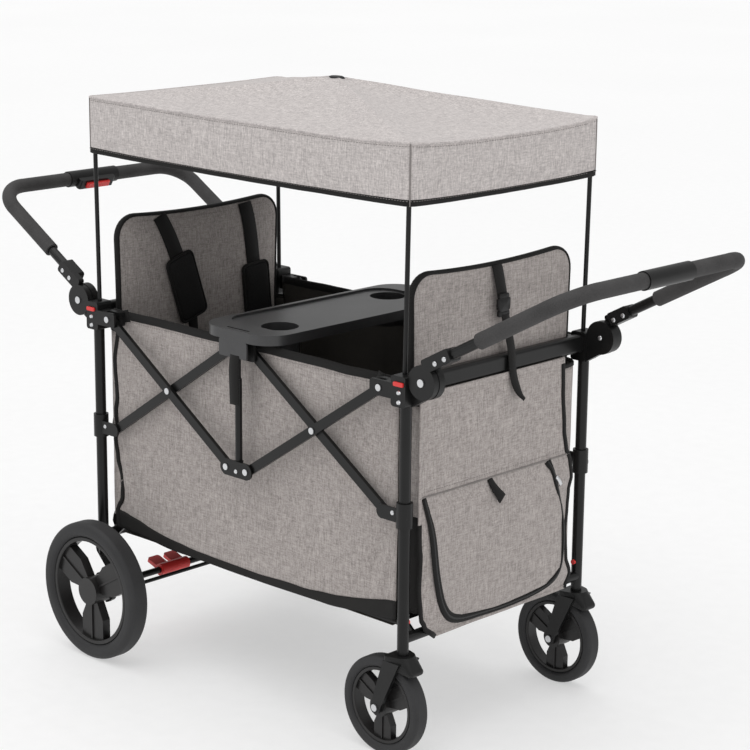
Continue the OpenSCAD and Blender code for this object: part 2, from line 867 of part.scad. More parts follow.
// Sleeve that slides on a post and carries an inner link on its lug
module sleeve() {
    difference() {
        union() {
            translate([half_x, half_y, pivot_low_z - sleeve_below])
                cylinder(d = sleeve_d, h = sleeve_below + sleeve_above);
            slab(upper_plate_y0, upper_plate_y1) stadium(sleeve_pivot, [half_x, pivot_low_z], sleeve_lug_h);
            rod_y(sleeve_pivot, inner_y0 - face_gap, upper_plate_y0, pin_d);
            rod_y(sleeve_pivot, inner_y0 - face_gap - pin_head_h, inner_y0 - face_gap, pin_head_d);
        }
        translate([half_x, half_y, pivot_low_z - sleeve_below - cut])
            cylinder(d = post_d + 2 * slide_gap, h = sleeve_below + sleeve_above + 2 * cut);
    }
}

module rear_sleeves() {
    color(plastic_colour) at_rear() both_sides() sleeve();
}

module front_sleeves() {
    color(plastic_colour) at_front() both_sides() sleeve();
}

// Middle brackets with the telescoping centre post
module lower_bracket() {
    tube_z0 = pivot_low_z - plate_h / 2;
    difference() {
        union() {
            slab(lower_plate_y0, lower_plate_y1) stadium(-bracket_half * [1, 0] + [0, pivot_low_z],
                low_bracket_pivot, plate_h);
            translate([0, centre_y, tube_z0]) cylinder(d = centre_tube_d, h = centre_tube_l);
            translate([0, centre_y, tube_z0]) cylinder(d = centre_tube_d + plate_t, h = plate_h);
        }
        translate([0, centre_y, tube_z0 - cut])
            cylinder(d = centre_rod_d + 2 * slide_gap, h = centre_tube_l + 2 * cut);
        for (s = [-1, 1])
            rod_y([s * bracket_half, pivot_low_z], lower_plate_y0 - cut, lower_plate_y1 + cut, pin_bore);
    }
}

module lower_brackets() {
    color(plastic_colour) at_front() both_sides() lower_bracket();
}

module upper_bracket() {
    plate_w = 2 * bracket_half + plate_h;
    slab(upper_plate_y0, upper_plate_y1) translate([0, (pivot_top_z - plate_h / 2 + tray_z0 - face_gap) / 2])
        round_rect(plate_w, tray_z0 - face_gap - pivot_top_z + plate_h / 2, casting_r);
    translate([0, centre_y, pivot_top_z - centre_rod_l]) cylinder(d = centre_rod_d, h = centre_rod_l);
    for (s = [-1, 1]) {
        p = [s * bracket_half, pivot_top_z];
        rod_y(p, inner_y0 - face_gap, upper_plate_y0, pin_d);
        rod_y(p, inner_y0 - face_gap - pin_head_h, inner_y0 - face_gap, pin_head_d);
    }
}

module upper_brackets() {
    color(plastic_colour) at_front() both_sides() upper_bracket();
}

// Wheels, drawn with their axis along Z and the outboard side up
module tyre(d, rim_d, w) {
    depth = (d - rim_d) / 2;
    rotate_extrude() translate([rim_d / 2 + depth / 2, 0]) round_rect(depth, w, depth * tyre_round_share);
}

module rim_ring(d, t, w) {
    rotate_extrude() translate([d / 2 - t / 2 - run_gap, 0]) round_rect(t, w, t / 4);
}

module spokes(hub, rim_d, t, w) {
    r0 = hub * spoke_root_share;
    r1 = rim_d / 2 - t * spoke_tip_share;
    flare = r0 + (r1 - r0) * spoke_flare_share;
    half_in = hub * spoke_in_share;
    half_out = rim_d * spoke_out_share;
    rib = t * spoke_rib_share;
    for (k = [0:2]) rotate(120 * k + 90) {
        translate([0, 0, -w * spoke_plate_share / 2]) linear_extrude(w * spoke_plate_share)
            polygon([[r0, -half_in], [flare, -half_out], [r1, -half_out], [r1, half_out], [flare, half_out],
                [r0, half_in]]);
        translate([0, 0, -w * spoke_depth_share / 2]) linear_extrude(w * spoke_depth_share)
            translate([r0, -rib / 2]) square([r1 - r0, rib]);
    }
}

module at_rear_wheel() {
    translate([axle_x, rear_wheel_y, rear_wheel_r]) rotate([-90, 0, 0]) children();
}

module rear_tyre() {
    at_rear_wheel() tyre(rear_wheel_d, rear_rim_d, rear_tyre_w);
}

module brake_ring() {
    notch = brake_bar_d + layer_gap;
    engaged_r = brake_bar_off - brake_travel;
    translate([0, 0, -rear_hub_w / 2 - brake_ring_w]) linear_extrude(brake_ring_w) difference() {
        circle(d = brake_ring_d);
        for (k = [1:brake_notches])
            rotate(360 * k / brake_notches) stadium([engaged_r, 0], [brake_ring_d, 0], notch);
    }
}

module rear_rim() {
    at_rear_wheel() difference() {
        union() {
            rim_ring(rear_rim_d, rear_rim_t, rear_rim_w);
            spokes(rear_hub_d, rear_rim_d, rear_rim_t, rear_rim_w);
            cylinder(d = rear_hub_d, h = rear_hub_w, center = true);
            brake_ring();
        }
        translate([0, 0, -rear_hub_w / 2 - brake_ring_w - cut])
            cylinder(d = axle_d + 2 * run_gap, h = rear_hub_w + brake_ring_w + cut - hub_cap_t + face_gap);
    }
}

module rear_tyre_near() {
    color(tyre_colour) at_rear() at_near() rear_tyre();
}

module rear_tyre_far() {
    color(tyre_colour) at_rear() rear_tyre();
}

module rear_rim_near() {
    color(plastic_colour) at_rear() at_near() rear_rim();
}

module rear_rim_far() {
    color(plastic_colour) at_rear() rear_rim();
}

module axle_bracket() {
    axle = [axle_x, rear_wheel_r];
    bar = [brake_bar_x, rear_wheel_r];
    difference() {
        slab(bracket_y0, bracket_y1) difference() {
            union() {
                stadium([half_x, rear_post_foot_z + post_r], axle, axle_bracket_d);
                stadium(bar, axle, brake_eye_d);
            }
            translate(axle) circle(d = axle_d + 2 * run_gap);
            stadium(bar, bar + [brake_travel + face_gap, 0], brake_slot_d);
        }
        translate([half_x, half_y, rear_post_foot_z])
            cylinder(d = post_d + 2 * run_gap, h = axle_bracket_d + post_d);
    }
}

module rear_axle() {
    color(steel_colour) at_rear() {
        both_sides() axle_bracket();
        rod_y([axle_x, rear_wheel_r], -axle_end_y, axle_end_y, axle_d);
    }
}

// Brake: the pedal turns on the axle and drives the bar into both brake rings
module pedal_lobe(y0, y1) {
    w = y1 - y0;
    translate([0, y0 + w / 2, -pedal_t / 2]) linear_extrude(pedal_t) translate([pedal_l / 2, 0])
        round_rect(pedal_l, w, pedal_sleeve_d / 4);
}

module brake_pedal() {
    lobe_w = pedal_w * pedal_lobe_share;
    color(red_colour) at_rear() translate([axle_x, -pedal_off, rear_wheel_r]) difference() {
        union() {
            rod_y([0, 0], -pedal_w / 2, pedal_w / 2, pedal_sleeve_d);
            rotate([0, -pedal_angle, 0]) {
                pedal_lobe(-pedal_w / 2, lobe_w - pedal_w / 2);
                pedal_lobe(pedal_w / 2 - lobe_w, pedal_w / 2);
            }
        }
        rod_y([0, 0], -pedal_w, pedal_w, axle_d + 2 * run_gap);
    }
}

module brake_bar() {
    color(steel_colour) at_rear() rod_y([brake_bar_x, rear_wheel_r], -brake_bar_y, brake_bar_y, brake_bar_d);
}

// Casters
module fork_crown() {
    nose = crown_d / 6;
    leg_d = fork_leg_w / 2;
    hull() {
        translate([half_x, half_y, crown_z0]) cylinder(d = crown_d, h = crown_t, $fn = 32);
        for (s = [-1, 1])
            translate([half_x - fork_top_w / 2 + leg_d / 2, half_y + s * (leg_y1 - leg_d / 2), crown_z0])
            cylinder(d = leg_d, h = crown_t, $fn = 32);
        for (s = [-1, 1])
            translate([half_x + fork_top_w / 2 + nose, half_y + s * crown_d / 4, crown_z0 - nose])
            sphere(d = 2 * nose, $fn = 24);
    }
}

module fork_leg() {
    top_z = crown_z0 + crown_t / 2;
    slab(half_y + leg_y0, half_y + leg_y1) {
        polygon([[half_x - fork_top_w / 2, top_z], [half_x + fork_top_w / 3, top_z],
            [caster_x + fork_leg_w / 2, front_wheel_r], [caster_x - fork_leg_w / 2, front_wheel_r]]);
        translate([caster_x, front_wheel_r]) circle(d = fork_leg_w);
    }
}

module at_caster_mirrored() {
    children();
    translate([0, 2 * half_y, 0]) mirror([0, 1, 0]) children();
}

module caster_fork() {
    axle = [caster_x, front_wheel_r];
    difference() {
        union() {
            fork_crown();
            at_caster_mirrored() fork_leg();
            translate([half_x, half_y, crown_z1 - crown_t / 2])
                cylinder(d = stem_d, h = stem_l + crown_t / 2);
        }
        rod_y(axle, half_y - leg_y0, half_y + leg_y0, front_wheel_d + 2 * wheel_room);
        rod_y(axle, half_y - 2 * leg_y1, half_y + 2 * leg_y1, bolt_d + 2 * run_gap);
    }
    rod_y(axle, half_y - leg_y1 - face_gap, half_y + leg_y1 + face_gap, bolt_d);
    at_caster_mirrored()
        rod_y(axle, half_y + leg_y1 + face_gap, half_y + leg_y1 + face_gap + bolt_head_h, bolt_head_d);
}

module caster_fork_near() {
    color(plastic_colour) at_front() at_near() caster_fork();
}

module caster_fork_far() {
    color(plastic_colour) at_front() caster_fork();
}

module at_front_wheel() {
    translate([caster_x, half_y, front_wheel_r]) rotate([-90, 0, 0]) children();
}

module front_tyre() {
    at_front_wheel() tyre(front_wheel_d, front_rim_d, front_tyre_w);
}

module front_rim() {
    at_front_wheel() difference() {
        union() {
            rim_ring(front_rim_d, front_rim_t, front_rim_w);
            spokes(front_hub_d, front_rim_d, front_rim_t, front_rim_w);
            cylinder(d = front_hub_d, h = front_hub_w, center = true);
        }
        cylinder(d = bolt_d + 2 * run_gap, h = 2 * front_hub_w, center = true);
    }
}

module front_tyre_near() {
    color(tyre_colour) at_front() at_near() front_tyre();
}

module front_tyre_far() {
    color(tyre_colour) at_front() front_tyre();
}

module front_rim_near() {
    color(plastic_colour) at_front() at_near() front_rim();
}

module front_rim_far() {
    color(plastic_colour) at_front() front_rim();
}

module caster_button() {
    y0 = half_y - post_r - caster_button_out;
    rod_y([half_x, caster_button_z], y0, y0 + caster_button_out + caster_button_l - caster_button_travel,
        caster_button_d);
}

module caster_button_near() {
    color(red_colour) at_front() at_near() caster_button();
}

module caster_button_far() {
    color(red_colour) at_front() caster_button();
}

// Handles, drawn with X along the arm from beside the hub axis
module at_handle(angle) {
    translate([hub_x, 0, hub_z]) rotate([0, -angle, 0]) children();
}

module at_arm() {
    translate([0, 0, hub_arm_off]) children();
}

// Both arms and their corners
module handle_arms(d, from, reach) {
    both_sides() {
        translate([from, half_y, 0]) rotate([0, 90, 0])
            cylinder(d = d, h = reach - handle_bend + bend_lap - from);
        translate([reach - handle_bend, half_y - handle_bend, 0])
            rotate_extrude(angle = 90) translate([handle_bend, 0]) circle(d = d + 2 * bend_swell);
    }
}

module handle_tube(reach) {
    handle_arms(handle_tube_d, tube_from, reach);
    rod_y([reach, 0], -crossbar_y, crossbar_y, handle_tube_d);
}

module handle_grip(reach, from) {
    bore_d = handle_tube_d + 2 * run_gap;
    difference() {
        union() {
            handle_arms(grip_d, from, reach);
            both_sides() rod_y([reach, 0], housing_half, crossbar_y, grip_d);
        }
        handle_arms(bore_d, from - cut, reach);
        rod_y([reach, 0], -crossbar_y, crossbar_y, bore_d);
    }
}

module handle_housing(reach) {
    nose_l = trigger_l + housing_d;
    difference() {
        union() {
            rod_y([reach, 0], -housing_half, housing_half, housing_d);
            translate([reach - housing_nose / 2, 0, 0]) rotate([0, 0, 90]) translate([0, 0, -housing_d / 3])
                linear_extrude(2 * housing_d / 3) round_rect(nose_l, housing_nose, housing_d / 6);
        }
        rod_y([reach, 0], -housing_l, housing_l, handle_tube_d + 2 * run_gap);
        translate([reach - handle_tube_d / 2 - housing_nose, 0, 0])
            cube([2 * housing_nose, trigger_l + 2 * button_gap, trigger_h + 2 * button_gap], center = true);
    }
}

module handle_trigger(reach) {
    x0 = reach - housing_nose - trigger_out;
    x1 = reach - handle_tube_d / 2 - trigger_travel - button_gap;
    translate([(x0 + x1) / 2, 0, -trigger_h / 2]) linear_extrude(trigger_h)
        round_rect(x1 - x0, trigger_l, trigger_h / 4);
}

module handle_hub() {
    difference() {
        union() {
            rod_y([0, 0], hub_y0, hub_y1, hub_d);
            slab(hub_y0, hub_y1) translate([(arm_from + hub_arm_l) / 2, hub_arm_off])
                round_rect(hub_arm_l - arm_from, hub_arm_w, hub_arm_w / 5);
            slab(drum_y0, hub_y1) translate([(socket_from + hub_arm_l) / 2, hub_arm_off])
                round_rect(hub_arm_l - socket_from, hub_arm_w, hub_arm_w / 5);
        }
        rod_y([0, 0], hub_y0 - cut, hub_y1 + cut, hub_bolt_d + 2 * run_gap);
        at_arm() translate([tube_from, half_y, 0]) rotate([0, 90, 0])
            cylinder(d = handle_tube_d + 2 * run_gap, h = hub_arm_l);
    }
}

module at_rear_handle() {
    at_rear() at_handle(rear_arm_angle) children();
}

module at_front_handle() {
    at_front() at_handle(front_arm_angle) children();
}

module rear_handle_tube() {
    color(steel_colour) at_rear_handle() at_arm() handle_tube(rear_reach);
}

module rear_handle_grip() {
    color(tyre_colour) at_rear_handle() at_arm() handle_grip(rear_reach, rear_grip_from);
}

module rear_handle_housing() {
    color(plastic_colour) at_rear_handle() at_arm() handle_housing(rear_reach);
}

module rear_handle_trigger() {
    color(red_colour) at_rear_handle() at_arm() handle_trigger(rear_reach);
}

module rear_handle_hubs() {
    color(plastic_colour) at_rear_handle() both_sides() handle_hub();
}

module front_handle_tube() {
    color(steel_colour) at_front_handle() at_arm() handle_tube(front_reach);
}

module front_handle_grip() {
    color(tyre_colour) at_front_handle() at_arm() handle_grip(front_reach, front_grip_from);
}

module front_handle_housing() {
    color(plastic_colour) at_front_handle() at_arm() handle_housing(front_reach);
}

module front_handle_trigger() {
    color(red_colour) at_front_handle() at_arm() handle_trigger(front_reach);
}

module front_handle_hubs() {
    color(plastic_colour) at_front_handle() both_sides() handle_hub();
}

// Canopy
module pole() {
    bend = [pole_x, half_y, pole_bend_z];
    rod([pole_x, half_y, pole_foot_z], bend, pole_d);
    rod(bend, [pole_top_x, half_y, pole_top_z], pole_d);
    translate(bend) sphere(d = pole_d);
    translate([pole_top_x, half_y, pole_top_z]) sphere(d = pole_d);
}

module rear_canopy_poles() {
    color(steel_colour) at_rear() both_sides() pole();
}

module front_canopy_poles() {
    color(steel_colour) at_front() both_sides() pole();
}

// Height of the roof at a share of the way out to its edge, sagging between the corners
function roof_z(s) = canopy_edge_z + canopy_rise * pow(1 - s, canopy_curve);
function edge_sag(p, hx, hy) = let (u = min(abs(p[0]) / hx, abs(p[1]) / hy)) canopy_sag * (1 - u * u);
function canopy_ring(s, z, t) = let (hx = canopy_half_x - t, hy = canopy_half_y - t)
    [for (p = round_ring(hx, hy, canopy_corner_r - t)) [p[0] * s, p[1] * s, z - t]];
function roof_ring(s, t) = let (hx = canopy_half_x - t, hy = canopy_half_y - t)
    [for (p = round_ring(hx, hy, canopy_corner_r - t))
        [p[0] * s, p[1] * s, roof_z(s) - t - edge_sag(p, hx, hy) * s]];
function hem_ring(t) = [for (p = canopy_ring(1, canopy_hem_z, t)) [p[0], p[1], canopy_hem_z]];
canopy_rings_in = [for (k = [len(canopy_ring_shares) - 1:-1:0])
    roof_ring(canopy_ring_shares[k], canopy_wall)];
canopy_rings_out = [for (s = canopy_ring_shares) roof_ring(s, 0)];

module canopy_roof() {
    color(cloth_colour) at_front() {
        loft(concat(canopy_rings_in, [hem_ring(canopy_wall), hem_ring(0)], canopy_rings_out));
        translate([0, 0, canopy_peak_z - vent_h]) linear_extrude(vent_h)
            stadium([-vent_l / 4, 0], [vent_l / 4, 0], vent_l / 2);
    }
}

// Backrests with shoulder pads
module backrest() {
    translate([backrest_x, 0, backrest_mid_z]) rotate([90, 0, -90]) loft(pad_rings(backrest_half_y,
        backrest_half_z, backrest_corner_r, backrest_t, backrest_crown, backrest_draw, backrest_dip));
    for (p = shoulder_pads) translate([backrest_x - backrest_t, p[0], p[1]])
        rotate([90, 0, -90]) rotate([0, 0, -p[2]])
            loft(pad_rings(shoulder_pad_w / 2, shoulder_pad_l / 2, shoulder_pad_w / 4,
                shoulder_pad_t, shoulder_pad_t / 4, 0, 0));
}

module rear_backrest() {
    color(cloth_colour) at_rear() backrest();
}

module front_backrest() {
    color(cloth_colour) at_front() backrest();
}

// Side panels, with folds that deepen towards the posts
side_half_x = casting_x0 - layer_gap;
function fold_at(x, z) = side_fold * cos(360 * x / side_fold_pitch) * pow(abs(x) / side_half_x, 2)
    * sin(180 * (z - side_foot_z) / (rim_z - side_foot_z));
function side_row(y, z, forward) = [for (k = [0:side_steps])
    let (x = (forward ? 1 : -1) * side_half_x * (2 * k / side_steps - 1)) [x, y - abs(fold_at(x, z)), z]];
function side_ring(z) = concat(side_row(side_y1, z, false), side_row(side_y0, z, true));

module side_panels() {
    color(cloth_colour) at_front() both_sides()
        loft([for (k = [0:side_rows]) side_ring(side_foot_z + (rim_z - side_foot_z) * k / side_rows)]);
}

// End panels, drawn flat and stood up between the posts
module end_panel() {
    h = end_top_z - end_foot_z;
    translate([end_panel_x, 0, end_foot_z + h / 2]) rotate([90, 0, 90])
        linear_extrude(panel_t) round_rect(2 * end_half_y, h, panel_t);
}

module pocket() {
    h = pocket_top_z - end_foot_z - pocket_margin;
    half_w = end_half_y - pocket_margin;
    translate([end_panel_x + panel_t / 2, 0, end_foot_z + pocket_margin + h / 2]) rotate([90, 0, 90])
        loft(pad_rings(half_w, h / 2, 2 * pocket_margin, pocket_t / 2, pocket_t / 2, 0, 0));
}

module rear_end_panel() {
    color(cloth_colour) at_rear() end_panel();
}

module front_end_panel() {
    color(cloth_colour) at_front() {
        end_panel();
        pocket();
    }
}

// Floor rails and boards, hinged at the end frames and folding up in the middle
module floor_rail(y0) {
    slab(y0, y0 + floor_rail_t) difference() {
        stadium([0, floor_z], [floor_pivot_x, floor_z], floor_rail_h);
        translate([floor_pivot_x, floor_z]) circle(d = floor_pin_d + 2 * run_gap);
    }
}

module floor_rails(y0) {
    both_sides() floor_rail(y0);
    for (s = floor_bar_shares)
        rod_y([floor_pivot_x * s + floor_mid_gap * (1 - s), floor_z], -y0, y0, floor_bar_d);
}

module floor_board() {
    x0 = floor_mid_gap;
    x1 = floor_pivot_x - floor_end_gap;
    translate([(x0 + x1) / 2, 0, board_z0]) linear_extrude(floor_board_t)
        round_rect(x1 - x0, 2 * board_half_y, floor_board_t);
}

module rear_floor_rails() {
    color(steel_colour) at_rear() floor_rails(rear_rail_y0);
}

module front_floor_rails() {
    color(steel_colour) at_front() floor_rails(front_rail_y0);
}

module rear_floor_board() {
    color(dark_cloth_colour) at_rear() floor_board();
}

module front_floor_board() {
    color(dark_cloth_colour) at_front() floor_board();
}

// Tray with two drop-in cup wells and a clip skirt at each end
module tray_plate() {
    recess_r = tray_corner_r - tray_border;
    difference() {
        translate([0, 0, tray_z0]) linear_extrude(tray_t) round_rect(tray_w, 2 * tray_half_y, tray_corner_r);
        translate([0, 0, tray_z1 - tray_recess]) linear_extrude(tray_recess + cut)
            round_rect(tray_w - 2 * tray_border, 2 * (tray_half_y - tray_corner_r), recess_r);
    }
}

module cup_places() {
    for (s = [-1, 1]) translate([-s * cup_x, s * cup_y, tray_z1 - cup_depth]) children();
}

// A cup well hangs by its lip in the tray's hole
module cup_well() {
    well_h = cup_depth - tray_recess;
    difference() {
        union() {
            translate([0, 0, -cup_wall]) cylinder(d = cup_out, h = well_h + cup_wall);
            translate([0, 0, well_h - cup_lip_h]) cylinder(d = cup_out + 2 * cup_lip_w, h = cup_lip_h);
        }
        cylinder(d = cup_d, h = well_h + cut);
    }
}

module tray() {
    color(plastic_colour) at_front() {
        difference() {
            tray_plate();
            cup_places() cylinder(d = cup_out + 2 * run_gap, h = cup_depth + cut);
            cup_places() translate([0, 0, cup_depth - tray_recess - cup_lip_h - run_gap])
                cylinder(d = cup_out + 2 * cup_lip_w + 2 * run_gap, h = cup_depth);
            both_sides() translate([0, tray_half_y - tray_border - slot_w, tray_z0 - cut])
                linear_extrude(tray_t + 2 * cut)
                round_rect(skirt_w * slot_share, slot_w, slot_w * slot_round_share);
        }
        cup_places() cup_well();
        both_sides() slab(skirt_y1 - skirt_t, skirt_y1)
            translate([0, tray_z0 - run_gap - skirt_drop / 2]) round_rect(skirt_w, skirt_drop, skirt_t);
    }
}

rear_end_frame();
rear_castings();
rear_top_rail();
rear_axle();
rear_rivets();
rear_end_panel();
side_panels();
rear_button_near();
rear_button_far();
rear_tyre_near();
rear_tyre_far();
rear_rim_near();
rear_rim_far();
brake_pedal();
brake_bar();
rear_handle_tube();
rear_handle_grip();
rear_handle_housing();
rear_handle_trigger();
rear_handle_hubs();
rear_canopy_poles();
canopy_roof();
rear_backrest();
rear_drop_links();
rear_rise_links();
rear_sleeves();
lower_brackets();
upper_brackets();
front_drop_links();
front_rise_links();
front_sleeves();
rear_link_pins();
front_link_pins();
front_end_frame();
front_castings();
front_top_rail();
front_rivets();
front_end_panel();
front_button_near();
front_button_far();
caster_fork_near();
caster_fork_far();
front_tyre_near();
front_tyre_far();
front_rim_near();
front_rim_far();
front_handle_tube();
front_handle_grip();
front_handle_housing();
front_handle_trigger();
front_handle_hubs();
front_canopy_poles();
front_backrest();
rear_floor_rails();
front_floor_rails();
rear_floor_board();
front_floor_board();
tray();
caster_button_near();
caster_button_far();
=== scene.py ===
"""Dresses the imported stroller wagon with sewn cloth, webbing, fasteners, finishes, light and a camera."""

import json
import logging
import math
from collections.abc import Callable, Sequence
from dataclasses import dataclass
from enum import Enum

import bpy
from mathutils import Matrix, Vector, noise
from mathutils.bvhtree import BVHTree


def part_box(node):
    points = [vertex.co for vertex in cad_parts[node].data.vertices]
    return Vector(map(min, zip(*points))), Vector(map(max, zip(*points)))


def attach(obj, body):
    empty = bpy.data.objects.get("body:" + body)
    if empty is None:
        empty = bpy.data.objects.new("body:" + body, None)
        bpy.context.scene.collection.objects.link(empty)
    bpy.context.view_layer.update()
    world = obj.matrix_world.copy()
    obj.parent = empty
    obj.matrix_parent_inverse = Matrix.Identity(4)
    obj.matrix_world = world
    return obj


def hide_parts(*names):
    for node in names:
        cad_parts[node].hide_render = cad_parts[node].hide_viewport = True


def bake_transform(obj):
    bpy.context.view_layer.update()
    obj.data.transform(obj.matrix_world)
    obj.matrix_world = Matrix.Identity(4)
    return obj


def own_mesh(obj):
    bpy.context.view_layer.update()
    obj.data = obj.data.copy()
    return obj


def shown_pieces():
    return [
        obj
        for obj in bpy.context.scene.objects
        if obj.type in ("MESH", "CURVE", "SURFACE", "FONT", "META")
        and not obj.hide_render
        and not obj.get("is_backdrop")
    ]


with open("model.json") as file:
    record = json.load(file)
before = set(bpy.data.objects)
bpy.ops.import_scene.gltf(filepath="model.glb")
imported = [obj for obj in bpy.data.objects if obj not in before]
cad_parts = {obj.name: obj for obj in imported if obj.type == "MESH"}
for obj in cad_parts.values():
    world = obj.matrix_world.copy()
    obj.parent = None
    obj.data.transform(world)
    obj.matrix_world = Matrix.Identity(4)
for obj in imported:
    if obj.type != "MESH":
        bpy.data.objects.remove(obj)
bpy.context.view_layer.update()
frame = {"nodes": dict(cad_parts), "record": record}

LOG = logging.getLogger("wagon")
MM = 0.001
UP = Vector((0, 0, 1))
ALONG = Vector((1, 0, 0))
ACROSS = Vector((0, 1, 0))
Pair = tuple[float, float]
Triple = tuple[float, float, float]
Section = list[Pair]
Curve = Sequence[Pair]
Route = Sequence[Triple]


class End(Enum):
    """The two ends of the wagon, by the sign of X."""

    REAR = -1
    FRONT = 1

    @property
    def label(self) -> str:
        """Name of the end as the bodies spell it."""
        return self.name.lower()


class Side(Enum):
    """The two sides of the wagon, by the sign of Y."""

    NEAR = -1
    FAR = 1

    @property
    def label(self) -> str:
        """Name of the side as the bodies spell it."""
        return self.name.lower()


class Slot(Enum):
    """Material slots of the record."""

    STEEL = "coated_steel"
    PLASTIC = "black_plastic"
    PLATED = "plated_steel"
    RED = "red_plastic"
    FOAM = "foam"
    TYRE = "tyre"
    CLOTH = "grey_cloth"


def node_middle(node: str) -> Vector:
    """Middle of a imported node's box, in metres."""
    low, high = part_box(node)
    return (low + high) / 2


MID_X = (node_middle("rear_rivets").x + node_middle("front_rivets").x) / 2
# Cloth simulation: size of a face, pressure of the stuffing and frames that it runs for.
CLOTH_VOXEL = 6 * MM
CLOTH_PRESSURE = 4.0
CLOTH_FRAMES = 20
# Middle of a handle's hub, along the wagon and up from the floor, in millimetres.
HUB_X = 484.0
HUB_Z = 737.0


def at(x: float, y: float, z: float) -> Vector:
    """Turns millimetres about the middle of the wagon into metres in the frame."""
    return Vector((MID_X + x * MM, y * MM, z * MM))


@dataclass(frozen=True)
class Extent:
    """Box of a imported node, in millimetres about the middle of the wagon."""

    low: Vector
    high: Vector

    @classmethod
    def of(cls, node: str) -> "Extent":
        """Reads the box of a node.

        Args:
            node: Name of the node.

        Returns:
            Its box.
        """
        low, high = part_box(node)
        shift = Vector((MID_X, 0, 0))
        return cls((low - shift) / MM, (high - shift) / MM)


# Numbers and curves


def linear(code: str) -> tuple[float, float, float, float]:
    """Turns an sRGB hex code into linear colour.

    Args:
        code: Six hex digits.

    Returns:
        Linear red, green, blue and full alpha.
    """
    shares = [int(code[i:i + 2], 16) / 255 for i in (0, 2, 4)]
    red, green, blue = [s / 12.92 if s <= 0.04045 else ((s + 0.055) / 1.055) ** 2.4 for s in shares]
    return red, green, blue, 1.0


def eased(stops: Curve, place: float) -> float:
    """Reads a smooth curve through a few stops.

    Args:
        stops: Pairs of place and value, in rising order of place.
        place: Where to read the curve.

    Returns:
        The value there, level beyond the first and the last stop.
    """
    if place <= stops[0][0]:
        return stops[0][1]
    for (before, low), (after, high) in zip(stops, stops[1:]):
        if place <= after:
            share = (place - before) / (after - before)
            return low + (high - low) * share * share * (3 - 2 * share)
    return stops[-1][1]


@dataclass(frozen=True)
class Ripple:
    """Soft unevenness of cloth: its depth, the size of its hollows in millimetres, and a seed."""

    depth: float
    size: float
    seed: float

    def at(self, x: float, y: float, z: float) -> float:
        """Height of the unevenness at a place, from minus to plus the depth."""
        place = Vector((x / self.size + self.seed, y / self.size - self.seed, z / self.size + 2 * self.seed))
        return self.depth * noise.noise(place)


def smooth_path(stops: Sequence[Vector], steps: int = 6) -> list[Vector]:
    """Runs a Catmull-Rom curve through points.

    Args:
        stops: Points to pass through.
        steps: Points made for each stretch.

    Returns:
        The points of the curve.
    """
    path = []
    for i, (b, c) in enumerate(zip(stops, stops[1:])):
        a = stops[i - 1] if i > 0 else 2 * b - c
        d = stops[i + 2] if i + 2 < len(stops) else 2 * c - b
        for k in range(steps):
            t = k / steps
            path.append(0.5 * (2 * b + (c - a) * t + (2 * a - 5 * b + 4 * c - d) * t * t
                               + (3 * b - a - 3 * c + d) * t ** 3))
    path.append(stops[-1])
    return path


def turns(steps: int) -> list[float]:
    """Angles of a full turn in equal steps."""
    return [math.tau * k / steps for k in range(steps)]


def oval(width: float, thick: float, steps: int = 12) -> Section:
    """Outline of an oval in millimetres."""
    return [(width / 2 * math.cos(t), thick / 2 * math.sin(t)) for t in turns(steps)]


def strip(width: float, thick: float) -> Section:
    """Outline of flat webbing with rounded selvedges, in millimetres."""
    a, b, in_a = width / 2, thick / 2, width / 2 - thick * 0.4
    return [(a, 0), (in_a, b), (0, b * 0.9), (-in_a, b), (-a, 0), (-in_a, -b), (0, -b * 0.9), (in_a, -b)]


def round_ring(half_a: float, half_b: float, radius: float, sides: tuple[int, int], arc: int) -> Section:
    """Outline of a rectangle with rounded corners, counter-clockwise.

    Args:
        half_a: Half of its size along the first axis.
        half_b: Half of its size along the second axis.
        radius: Radius of the corners.
        sides: Steps along the sides that run in the first and the second axis.
        arc: Steps round a corner.

    Returns:
        Points that start at the corner where both axes are positive.
    """
    signs = [(1, 1), (-1, 1), (-1, -1), (1, -1)]
    middles = [(a * (half_a - radius), b * (half_b - radius)) for a, b in signs]
    points = []
    for k, (mid_a, mid_b) in enumerate(middles):
        for step in range(arc + 1):
            turn = (k + step / arc) * math.pi / 2
            points.append((mid_a + radius * math.cos(turn), mid_b + radius * math.sin(turn)))
        last = points[-1]
        next_mid = middles[(k + 1) % 4]
        first = (next_mid[0] + radius * math.cos((k + 1) * math.pi / 2),
                 next_mid[1] + radius * math.sin((k + 1) * math.pi / 2))
        count = sides[k % 2]
        for step in range(1, count):
            share = step / count
            points.append((last[0] + (first[0] - last[0]) * share, last[1] + (first[1] - last[1]) * share))
    return points


# Meshes


def add_mesh(name: str, points: Sequence[Vector], faces: Sequence[Sequence[int]],
             *finishes: bpy.types.Material) -> bpy.types.Object:
    """Makes a smooth-shaded piece.

    Args:
        name: Name of the piece.
        points: Its points, in metres.
        faces: Its faces.
        finishes: Its materials.

    Returns:
        The new object.
    """
    mesh = bpy.data.meshes.new(name)
    mesh.from_pydata([tuple(p) for p in points], [], [tuple(f) for f in faces])
    for finish in finishes:
        mesh.materials.append(finish)
    mesh.polygons.foreach_set("use_smooth", [True] * len(mesh.polygons))
    mesh.update()
    piece = bpy.data.objects.new(name, mesh)
    bpy.context.scene.collection.objects.link(piece)
    return piece


def settle(piece: bpy.types.Object) -> None:
    """Applies the modifiers of a piece to its mesh.

    Args:
        piece: The piece, which gets a new mesh.
    """
    bpy.context.view_layer.update()
    graph = bpy.context.evaluated_depsgraph_get()
    mesh = bpy.data.meshes.new_from_object(piece.evaluated_get(graph), depsgraph=graph)
    mesh.name = piece.name
    piece.modifiers.clear()
    piece.data = mesh


